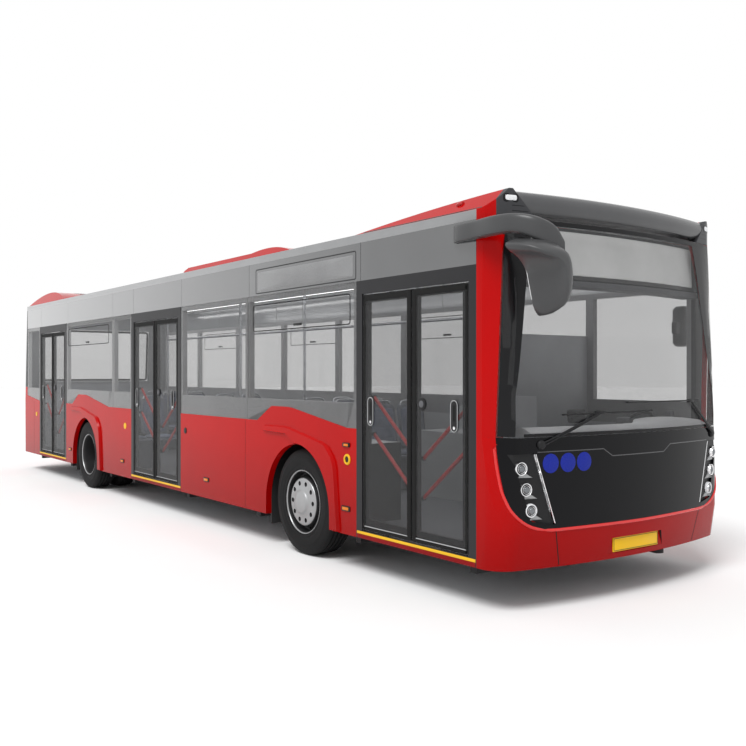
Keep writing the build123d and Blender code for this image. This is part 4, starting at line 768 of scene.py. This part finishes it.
for side, tag in SIDES:
    for i, (y, z) in enumerate(HEADLAMPS):
        centre, out = lamps.hit(side * y, z)
        kind = "white_lens" if i == 2 else "chrome"
        fin = [(side * (y + dy), z + dz) for dy, dz in FIN]
        trim(f"head_bezel_{tag}_{i}", kind, lathe(BEZEL, centre, out, 40), slot="steel")
        trim(f"head_bowl_{tag}_{i}", "mask", lathe(BOWL, centre, out, 32))
        trim(f"head_ring_{tag}_{i}", "chrome", lathe(LENS_RING, centre, out, 32))
        trim(f"head_lens_{tag}_{i}", "projector", lathe(LENS, centre, out, 32))
        trim(f"head_fin_{tag}_{i}", "silver", patch(mask, fin, 12, 10))
    strip = ribbon(mask, [(side * 1002, 1092), (side * 846, 612)], 10, 6)
    trim(f"head_strip_{tag}", "chrome", strip)
    split = ribbon(bumper, [(side * 833, 556), (side * 774, 312)], 8, 0.8)
    trim(f"bumper_split_{tag}", "rubber", split)
for i, y in enumerate(DISCS):
    trim(f"blue_disc_{i}", "blue", patch(front, disc(y, 1025, 67, 40), 3, 3, crown=0.5))
trim("hood_line", "visor", ribbon(front, HOOD, 7, 1.5), slot="black_mask")
trim("number_plate", "plate", patch(bumper, rounded(-262, 262, 347, 451, 8), 8, 5))
line = ribbon(bumper, rounded(-254, 254, 355, 443, 6), 5, 9.2, loop=True, step=90)
trim("number_plate_rim", "black", line)


# mask lip, screen borders and the blank sign behind the screen
def ahead(skin, other, y, z):
    """Whether the front view meets a skin before another one."""
    here, there = skin.hit(y, z), other.hit(y, z)
    return here is not None and (there is None or here[0].x > there[0].x - 1e-5)


def furthest(holds, inner, outer):
    """Last value, found by halving, at which a test holds."""
    for _ in range(24):
        middle = (inner + outer) / 2
        inner, outer = (middle, outer) if holds(middle) else (inner, middle)
    return inner


mask_only = Skin("front", "front_mask", "lamps")
SCREEN_Z = (1205, 2712)
MASK_MIDDLE = 900
LIP_SPOTS = 140
rays = []
for k in range(LIP_SPOTS + 1):
    a = math.radians(-195 + 210 * k / LIP_SPOTS)
    c, s = math.cos(a), math.sin(a)
    edge = furthest(lambda r: ahead(mask_only, bumper, r * c, MASK_MIDDLE + r * s), 100.0, 1400.0)
    rays.append((c, s, edge))
lip = []
for k in range(2, LIP_SPOTS - 1):
    c, s, _ = rays[k]
    reach = sum(ray[2] for ray in rays[k - 2 : k + 3]) / 5 + 7
    y, z = reach * c, MASK_MIDDLE + reach * s
    if z < SCREEN_Z[0] - 14 and bumper.hit(y, z):
        lip.append(on_skin(bumper, y, z, -1))
# the lip bead is coloured lighter red as a painted highlight along the mask edge
trim("mask_lip", "lip", sweep(lip, 11, 12), smooth=60)

BORDER = ((0, -1), (0, 0.8), (0.33, 0.8), (0.66, 0.8), (1, 0.8), (1, -1))
low, high = SCREEN_Z
borders = []
for side, _ in SIDES:
    rings = []
    for k in range(31):
        z = low + 8 + (high - low - 16) * k / 30
        edge = furthest(lambda y: ahead(screen, bumper, side * y, z), 300.0, HALF_W - 1.0) - 6
        wide = 66 + (200 + side * 60) * max(0, (z - 1500) / 1200) ** 0.8
        rings.append([on_skin(screen, side * (edge - wide * share), z, off) for share, off in BORDER])
    borders.append(loft(rings))
borders.append(ribbon(screen, [(-1090, low + 16), (1090, low + 16)], 22, 0.8))
borders.append(ribbon(screen, [(-1060, 2690), (1060, 2690)], 34, 0.8))
trim("screen_border", "frit", *borders, slot="black_mask")


def inside_screen(half, z0, z1, near, far, count=20):
    """Slab that follows the screen from the inside."""
    rings = []
    spots = ((z0, near), (z0 + 6, near - 4), (z1 - 6, near - 4), (z1, near), (z1, far), (z0, far))
    for k in range(count + 1):
        y = -half + 2 * half * k / count
        rings.append([on_skin(screen, y, z, 0) - Vector((off / 1000, 0, 0)) for z, off in spots])
    return loft(rings)


trim("sign_box", "visor", inside_screen(1010, 2312, 2678, 74, 190))
trim("sign_face", "sign", inside_screen(940, 2345, 2655, 64, 80))
trim("sign_sill", "dash", inside_screen(1030, 2262, 2306, 60, 200), slot="inner_plastic")

# visor: a rolled brow across the front, with end caps that carry the marker lamps
BOW_R = 5200
CAP_FRONT = 2668
BROW = [
    (236, 2906), (120, 2909), (66, 2904), (30, 2888), (9, 2858), (2, 2826), (5, 2792), (17, 2762), (38, 2740),
    (62, 2727), (68, 2716), (150, 2714), (236, 2714),
]


def bow(y):
    """How far the bowed front falls back at a place across."""
    return BOW_R - math.sqrt(BOW_R**2 - y**2)


rings = []
for k in range(41):
    ring = []
    for back, z in BROW:
        y = (2 * k / 40 - 1) * (932 + (z - 2712) * 0.943)
        ring.append(at(CAP_FRONT - bow(y) - back, y, z))
    rings.append(ring)
trim("visor_brow", "brow", loft(rings), smooth=50, replaces="roof_visor")
crown = Skin("front", "roof_fairing")
for side, tag in SIDES:
    base = [(side * y, z) for y, z in rounded(1078, 1188, 2814, 2874, 20)]
    lens = [(side * y, z) for y, z in rounded(1092, 1174, 2826, 2863, 14)]
    trim(f"marker_base_{tag}", "frit", patch(crown, base, 1.5, 4))
    trim(f"marker_lens_{tag}", "white_lens", patch(crown, lens, 5, 6, crown=2))
    ends = ((1000, 2757), (1000 + (2793 - 2757) * 0.9, 2793))
    lines = [ribbon(crown, [(side * y, z), (side * 1128, z)], 5, 0.8) for y, z in ends]
    trim(f"cap_lines_{tag}", "frit", *lines)

# right mirror: a flowing arm and a drop-shaped head with its glass; left mirror: a stub and an upright head
SIDE_X = 2345.09
ARM = [
    ((-209, 0), (-209, -25), 2565, 2690),
    ((-130, 0), (-130, -55), 2565, 2690),
    ((75, 0), (55, -80), 2565, 2690),
    ((275, -12), (275, -113), 2564, 2690),
    ((420, 36), (435, -96), 2556, 2684),
    ((505, 92), (565, -22), 2500, 2656),
    ((566, 156), (634, 92), 2435, 2598),
    ((596, 192), (652, 168), 2380, 2505),
]
ROUND_SPOTS = 20


def arm_ring(inner, outer, z0, z1):
    """Rounded section of the arm between two places of its plan."""
    ring = []
    for k in range(ROUND_SPOTS):
        a = 2 * math.pi * (k + 0.5) / ROUND_SPOTS
        c, s = math.cos(a), math.sin(a)
        u = 0.5 + 0.5 * math.copysign(abs(c) ** 0.45, c)
        v = 0.5 + 0.5 * math.copysign(abs(s) ** 0.45, s)
        x = SIDE_X + inner[0] + (outer[0] - inner[0]) * u
        y = -HALF_W + inner[1] + (outer[1] - inner[1]) * u
        ring.append(at(x, y, z0 + (z1 - z0) * v))
    return ring


coarse = [arm_ring(*section) for section in ARM]
lines = [smooth_line([ring[k] for ring in coarse], 6) for k in range(ROUND_SPOTS)]
arm_shell = loft([[line[i] for line in lines] for i in range(len(lines[0]))])
HEAD = [
    (-160, 238), (-60, 198), (50, 196), (128, 226), (180, 300), (206, 400), (214, 520), (204, 612),
    (172, 674), (130, 686), (90, 628), (56, 510), (22, 398), (-58, 316), (-142, 276),
]
HEAD_X = [
    (2794, 0.93, 0, 4), (2790, 0.98, 0, 0), (2800, 1.0, 0, 0), (2850, 0.985, 3, 8), (2905, 0.945, 10, 26),
    (2960, 0.875, 20, 52), (3005, 0.785, 32, 92), (3040, 0.67, 45, 140), (3064, 0.53, 54, 185),
    (3076, 0.38, 62, 236), (3079, 0.2, 74, 300),
]
HEAD_TOP = 2712
SEAM_X = 103
closed = [Vector((dy, down, 0)) for dy, down in HEAD]
loop = smooth_line(closed[-2:] + closed + closed[:2], 5)[10:-5]
loop = loop[: 5 * len(HEAD)]
rings = []
for x, scale, shift_y, shift_z in HEAD_X:
    rings.append([at(x, shift_y + p.x * scale - HALF_W, HEAD_TOP - shift_z - p.y * scale) for p in loop])
left = box_mesh(2070, 2200, 1330, 1439, 1880, 2240, 38, 5)
stub = box_mesh(2105, 2165, 1270, 1345, 1990, 2100, 14, 3)
seam = [arm_ring((x, 0), (x, -87), 2564, 2691) for x in (SEAM_X - 2.5, SEAM_X + 2.5)]
trim("mirror_arm_seam", "frit", loft(seam))
shells = (arm_shell, loft(rings), left, stub)
trim("mirror_shells", "mirror", *shells, smooth=50, replaces="mirrors")
glass = [at(2791.5, p.x * 0.9 - HALF_W, HEAD_TOP - 2 - 8 - p.y * 0.9 - 20) for p in loop]
backing = [point + Vector((0.004, 0, 0)) for point in glass]
trim("mirror_glass_right", "chrome", loft([glass, backing]))
trim("mirror_glass_left", "chrome", box_mesh(2067, 2072, 1345, 1425, 1905, 2215, 2, 1))

# steering wheel: a round rim, three spokes and a hub
RIM_R, RIM_UP, RIM_BAR = 225, 51, 14.5
HUB = [(0, 66), (30, 65), (48, 60), (56, 50), (52, 36), (40, 8), (0, 4)]
wheel_axis = Vector((-1, 0, 1)).normalized()
wheel_centre = at(2180.09, 640, 1130)
turns = [2 * math.pi * k / 12 for k in range(12)]
rim = [(RIM_R + RIM_BAR * math.cos(a), RIM_UP + RIM_BAR * math.sin(a)) for a in turns]
groups = [lathe(rim, wheel_centre, wheel_axis, 72, loop=True), lathe(HUB, wheel_centre, wheel_axis, 40)]
across_wheel = Vector((0, 1, 0))
for way in (across_wheel, -across_wheel, wheel_axis.cross(across_wheel)):
    spoke = [wheel_centre + wheel_axis * 0.046 + way * d for d in (0.03, 0.10, 0.16, 0.222)]
    groups.append(sweep(smooth_line(spoke, 3), 12))
trim("steering_rim", "black", *groups, body="steering_wheel", smooth=50, replaces="steering_wheel")


# seats: crowned pads, blown up as cloth and sewn in channels, on plastic shells
def power(value, exponent):
    return math.copysign(abs(value) ** exponent, value)


def crowned(a, b, c, around=44, rows=18):
    """Crowned closed form about the origin, with half sizes in mm along length, width and thickness."""
    verts, faces = [], []
    for i in range(rows + 1):
        p = math.pi * (i / rows - 0.5)
        for k in range(around):
            q = 2 * math.pi * k / around
            x = power(math.cos(p), 0.42) * power(math.cos(q), 0.3)
            y = power(math.cos(p), 0.42) * power(math.sin(q), 0.3)
            z = power(math.sin(p), 0.75)
            verts.append(Vector((a * x * (1 - 0.03 * (1 - y * y)), b * y * (1 - 0.03 * (1 - x * x)), c * z)))
    for i in range(rows):
        for k in range(around):
            m = (k + 1) % around
            faces.append((i * around + k, i * around + m, (i + 1) * around + m, (i + 1) * around + k))
    return verts, faces


VOXEL = 0.009
PRESSURE = 4
CLOTH_FRAMES = 20
SWELL = 9


def blown(form):
    """Remeshes a form, blows it up as cloth and keeps every point within SWELL mm of where it was."""
    pad = bpy.data.objects.new("pad", clean_mesh("pad", [point / 1000 for point in form[0]], form[1]))
    scene.collection.objects.link(pad)
    remesh = pad.modifiers.new("remesh", "REMESH")
    remesh.mode = "VOXEL"
    remesh.voxel_size = VOXEL
    graph = bpy.context.evaluated_depsgraph_get()
    even = bpy.data.meshes.new_from_object(pad.evaluated_get(graph))
    pad.modifiers.remove(remesh)
    pad.data = even
    start = [v.co.copy() for v in even.vertices]
    sides = [list(face.vertices) for face in even.polygons]
    cloth_step = pad.modifiers.new("cloth", "CLOTH")
    cloth_step.settings.use_pressure = True
    cloth_step.settings.uniform_pressure_force = PRESSURE
    cloth_step.settings.effector_weights.gravity = 0
    cloth_step.point_cache.frame_end = CLOTH_FRAMES
    for f in range(1, CLOTH_FRAMES + 1):
        scene.frame_set(f)
    moved = pad.evaluated_get(bpy.context.evaluated_depsgraph_get()).data
    verts = []
    for before, after in zip(start, moved.vertices):
        step = (after.co - before) * 1000
        verts.append(before * 1000 + step * min(1, SWELL / max(step.length, 1e-6)))
    bpy.data.objects.remove(pad)
    scene.frame_set(1)
    return verts, sides


def sewn(form, a, c, channels):
    """Presses channels across the face of a form."""
    verts = []
    for point in form[0]:
        dip = 0.0
        for n in range(channels):
            spot = a * (-1 + 2 * (n + 1) / (channels + 1))
            dip += 0.24 * c * math.exp(-(((point.x - spot) / 9) ** 2))
        share = min(1, max(0, point.z / c))
        verts.append(point - Vector((0, 0, dip * share)))
    return verts, form[1]


def placed(form, centre, long, wide, thick, stretch=1.0):
    """Form set at a place along three directions."""
    verts = [centre + (long * p.x + wide * p.y * stretch + thick * p.z) / 1000 for p in form[0]]
    return verts, form[1]


FLOOR_Z = 340
SEAT_Z = FLOOR_Z + 380
INNER_Y = 1215
SINGLE_W, DOUBLE_W = 440, 860
SEATS = [
    (-1050, -1, SINGLE_W), (-1750, -1, SINGLE_W), (900 - WHEELBASE, -1, DOUBLE_W), (-1050, 1, DOUBLE_W),
    (-1750, 1, DOUBLE_W), (-2450, 1, DOUBLE_W), (900 - WHEELBASE, 1, DOUBLE_W),
    (-1060 - WHEELBASE, 1, DOUBLE_W), (-1760 - WHEELBASE, 1, DOUBLE_W),
]
LEAN = Vector((-85, 0, 560)).normalized()
FORWARD = Vector((1, 0, 0))
ACROSS = Vector((0, 1, 0))
BACK_NORMAL = ACROSS.cross(LEAN)
UP = Vector((0, 0, 1))
EACH = DOUBLE_W / 2
cushion = sewn(blown(crowned(194, EACH / 2 - 28, 21)), 200, 24, 2)
back = sewn(blown(crowned(232, EACH / 2 - 40, 15)), 238, 18, 3)
shell = crowned(262, EACH / 2 - 14, 17)
cushions, backs, shells, handles = [], [], [], []
for x, side, wide in SEATS:
    middle = side * (INNER_Y - 5 - wide / 2)
    places = 2 if wide == DOUBLE_W else 1
    each = wide / places
    stretch = each / EACH
    leg = wide / 4 - 5
    shells.append(box_mesh(x - 30, x + 120, middle - leg, middle + leg, FLOOR_Z, SEAT_Z, 14))
    for i in range(places):
        y = middle - wide / 2 + (i + 0.5) * each
        shells.append(box_mesh(x - 130, x + 300, y - each / 2 + 8, y + each / 2 - 8, SEAT_Z, SEAT_Z + 26, 12))
        cushions.append(placed(cushion, at(x + 92, y, SEAT_Z + 44), FORWARD, ACROSS, UP, stretch))
        low = at(x - 106, y, SEAT_Z + 62)
        mid = low + LEAN * 0.262
        shells.append(placed(shell, mid - BACK_NORMAL * 0.008, LEAN, ACROSS, BACK_NORMAL, stretch))
        pad_at = mid + BACK_NORMAL * 0.010 - LEAN * 0.01
        backs.append(placed(back, pad_at, LEAN, ACROSS, BACK_NORMAL, stretch))
        top = low + LEAN * 0.50
        reach = each / 2 - 70
        bar = [
            top - ACROSS * reach / 1000, top + LEAN * 0.045 - ACROSS * (reach - 25) / 1000,
            top + LEAN * 0.056, top + LEAN * 0.045 + ACROSS * (reach - 25) / 1000,
            top + ACROSS * reach / 1000,
        ]
        handles.append(sweep(smooth_line(bar, 5), 10, 10))
pads = trim("passenger_cushions", "cloth", *cushions, smooth=60, replaces="passenger_seats")
pads = trim("passenger_backs", "cloth", *backs, smooth=60)
trim("passenger_shells", "shell", *shells, smooth=45)
trim("passenger_handles", "steel", *handles, smooth=60)
x, y = 1750, 640
stand = [
    box_mesh(x - 30, x + 120, y - 110, y + 110, FLOOR_Z, SEAT_Z - 40, 30, 4),
    box_mesh(x - 120, x + 290, y - 215, y + 215, SEAT_Z - 40, SEAT_Z + 20, 24, 4),
]
trim("driver_stand", "dash", *stand, smooth=45)
low = at(x - 100, y, SEAT_Z + 66)
DRIVER_PADS = [
    ("driver_cushion", (206, 222, 28), 3, at(x + 90, y, SEAT_Z + 40), FORWARD, UP),
    ("driver_back", (206, 216, 34), 3, low + LEAN * 0.212, LEAN, BACK_NORMAL),
    ("driver_headrest", (62, 114, 28), 0, low + LEAN * 0.485, LEAN, BACK_NORMAL),
]
for name, (a, b, c), channels, centre, long, thick in DRIVER_PADS:
    form = sewn(blown(crowned(a, b, c)), a, c, channels)
    group = placed(form, centre, long, ACROSS, thick)
    solid = "driver_seat" if name == "driver_cushion" else None
    pad = trim(name, "cab_cloth", group, smooth=60, replaces=solid)

# wipers: tapering arms, jointed blades and capped pivots
front_glass = Skin("front", "front_mask", "windscreen", "front_fascia")
WIPERS = [
    ((-956, 1155), (-419, 1365), (-772, 1357), (146, 1367)),
    ((1080, 1155), (700, 1430), (840, 1430), (-142, 1433)),
]
groups = []
for pivot, end, tip_0, tip_1 in WIPERS:
    for spread in (-9, 9):
        line = resample([(pivot[0], pivot[1] + spread), (end[0], end[1] + spread * 0.4)], 50)
        groups.append(sweep([on_skin(front_glass, y, z, 14) for y, z in line], 6.5, 8))
    line = resample([tip_0, tip_1], 50)
    groups.append(sweep([on_skin(front_glass, y, z, 11) for y, z in line], 6, 8))
    groups.append(sweep([on_skin(front_glass, y, z, 4) for y, z in line], 3.5, 6))
    groups.append(patch(front_glass, rounded(end[0] - 45, end[0] + 45, end[1] - 13, end[1] + 13, 10), 20, 6))
    spot, out = front_glass.hit(*pivot)
    groups.append(lathe([(0, 21.5), (20, 21), (30, 16), (33, 6), (33, -2)], spot, out, 28))
trim("wiper_set", "black", *groups, smooth=50, replaces="wipers")

# dash shelf behind the screen, a cab screen and a small machine beside the wheel
SHELF_Z = 1245
rings = []
for k in range(33):
    y = -1000 + 2060 * k / 32
    deep = 190 + 170 * min(1, max(0, (y - 150) / 250))
    lift = 26 * math.exp(-(((y - 640) / 330) ** 2))
    face = on_skin(screen, y, SHELF_Z, 0)
    spots = [(40, 1214), (44, 1234), (90, 1256 + lift), (deep * 0.7, 1268 + lift), (deep - 14, 1262 + lift)]
    spots.append((deep, 1214))
    rings.append([face - Vector((off / 1000, 0, SHELF_Z / 1000 - z / 1000)) for off, z in spots])
trim("dash_shelf", "dash_top", loft(rings), smooth=50)
machine = box_mesh(2215, 2300, 375, 470, 1130, 1290, 14, 3)
monitor = box_mesh(2250, 2320, 980, 1010, 1150, 1330, 10, 3)
trim("cab_boxes", "dash", machine, monitor, smooth=45)

# seams on the front corners, lamps and a gap along the fairing
SEAM_Z = 1205
lines = [ribbon(Skin(view, "front_fascia"), [(2352, SEAM_Z), (2440, SEAM_Z)], 5, 0.8) for _, view in SIDES]
for side, _ in SIDES:
    if bumper.hit(side * 1180, SEAM_Z):
        lines.append(ribbon(bumper, [(side * 1180, SEAM_Z), (side * 1236, SEAM_Z)], 5, 0.8))
trim("corner_seams", "frit", *lines)
fairings = [Skin(view, "roof_fairing") for _, view in SIDES]
tops = [patch(skin, rounded(2068, 2132, 2842, 2872, 12), 16, 8, crown=2) for skin in fairings]
trim("fairing_lamps", "red_lens", *tops, smooth=50)
start = min(x for x in range(900, 2300, 20) if fairings[0].hit(x, 2792))
lines = [ribbon(skin, [(start + 20, 2787), (2395, 2787)], 8, 0.8, step=200) for skin in fairings]
trim("fairing_gap", "frit", *lines)

# rear end: lamps, louvred lid, blank plate, locks and the window's border
tail = Skin("rear", "rear_fascia", "lamps")
lid = Skin("rear", "engine_lid")
TAIL_Y = 1015
TAIL_LENSES = [(640, "red_lens"), (790, "amber"), (940, "red_lens"), (1090, "white_lens")]
TAIL_RING = [(43, 0), (43, 8), (47, 12), (54, 9), (56, 0)]
TAIL_LENS = [(0, 15), (16, 14), (17, 12), (31, 11), (32, 9), (42, 6), (43, 0)]
for side, tag in SIDES:
    for i, (z, kind) in enumerate(TAIL_LENSES):
        spot, out = tail.hit(side * TAIL_Y, z)
        trim(f"tail_ring_{tag}_{i}", "black", lathe(TAIL_RING, spot, out, 36))
        trim(f"tail_lens_{tag}_{i}", kind, lathe(TAIL_LENS, spot, out, 36))
    top = rounded(*sorted((side * 1000, side * 1120)), 2560, 2600, 14)
    trim(f"tail_top_{tag}", "red_lens", patch(tail, top, 9, 5, crown=2))
    reflector = rounded(*sorted((side * 930, side * 1050)), 395, 435, 10)
    trim(f"tail_reflector_{tag}", "red_lens", patch(tail, reflector, 7, 5))
stop = resample(rounded(-170, 170, 2545, 2580, 12), 40, True)
trim("tail_stop_lamp", "red_lens", patch(tail, stop, 8, 5, crown=1))
slats = [ribbon(lid, [(-640, z), (640, z)], 20, 0.8, step=160) for z in range(820, 1140, 42)]
trim("lid_slats", "frame", *slats, body="engine_lid")
line = ribbon(lid, rounded(-690, 690, 785, 1160, 30), 10, 0.4, loop=True, step=120)
trim("lid_frame", "rubber", line, body="engine_lid")
plate = resample(rounded(-262, 262, 596, 700, 8), 40, True)
trim("rear_plate", "plate", patch(lid, plate, 5, 4), body="engine_lid")
line = ribbon(lid, rounded(-254, 254, 604, 692, 6), 5, 5.6, loop=True, step=40)
trim("rear_plate_rim", "black", line, body="engine_lid")
for i, y in enumerate((-560, 560)):
    lock = patch(lid, rounded(y - 55, y + 55, 536, 572, 14), 3, 4)
    trim(f"lid_lock_{i}", "black", lock, body="engine_lid")
line = ribbon(Skin("rear", "rear_window"), rounded(-958, 958, 1522, 2398, 40), 34, 1.2, loop=True, step=120)
trim("rear_window_border", "frit", line, slot="black_mask")

# roof: two hatches, welded seams and slots in the pods, left out where a pod is highest
top = Skin("top", "roof")
HATCH_HALF, SEAL_HALF = 380, 405
HATCHES = (300, -4900)
ROOF_SEAMS = (-3400, -4200, -5600, -6400)
POD_SLOTS = ((-2500, -700), (-8500, -7350))
SLOT_Y = (380, 860)
SLOT_STEP = 90
SLOT_TOP = 2.953
for i, x in enumerate(HATCHES):
    lid_line = rounded(x - HATCH_HALF, x + HATCH_HALF, -HATCH_HALF, HATCH_HALF, 70)
    seal_line = rounded(x - SEAL_HALF, x + SEAL_HALF, -SEAL_HALF, SEAL_HALF, 80)
    trim(f"roof_hatch_{i}", "roof", patch(top, lid_line, 42, 40, crown=8), smooth=40)
    trim(f"roof_hatch_seal_{i}", "rubber", ribbon(top, seal_line, 26, 6, loop=True, step=90))
lines = [ribbon(top, [(x, -1150), (x, 1150)], 10, 1.5, step=120) for x in ROOF_SEAMS]
trim("roof_seams", "frame", *lines)
pods = Skin("top", "roof_pods")
slots = []
for x0, x1 in POD_SLOTS:
    count = int((x1 - x0) / SLOT_STEP)
    for k in range(count):
        x = x0 + (x1 - x0) * (k + 0.5) / count
        if pods.hit(x, SLOT_Y[0])[0].z < SLOT_TOP:
            slots += [ribbon(pods, [(x, side * y) for y in SLOT_Y], 26, 1.6, step=60) for side, _ in SIDES]
trim("pod_slots", "frame", *slots)

# far side: service flaps with locks; inside: light strips and a long rail
FLAPS = ((-3700, -3050, 420, 1010), (-8500, -7700, 420, 1010), (-2450, -1900, 420, 820))
wall = walls["left"]
flaps, locks = [], []
for u0, u1, v0, v1 in FLAPS:
    flaps.append(ribbon(wall, rounded(u0, u1, v0, v1, 25), 5, 0.9, loop=True, step=120))
    locks += [patch(wall, disc(u, v0 + 60, 17, 20), 4, 4, crown=1) for u in (u0 + 90, u1 - 90)]
trim("flap_seams", "rubber", *flaps)
trim("flap_locks", "steel", *locks)
strips = [box_mesh(-8500, 2000, side * 700 - 80, side * 700 + 80, 2672, 2690, 6) for side, _ in SIDES]
trim("ceiling_lights", "strip_light", *strips)
rail = sweep([at(820 - 7490 * k / 40, 325, 2180) for k in range(41)], 16, 12)
trim("ceiling_rail", "steel", rail, smooth=50)

low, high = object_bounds()
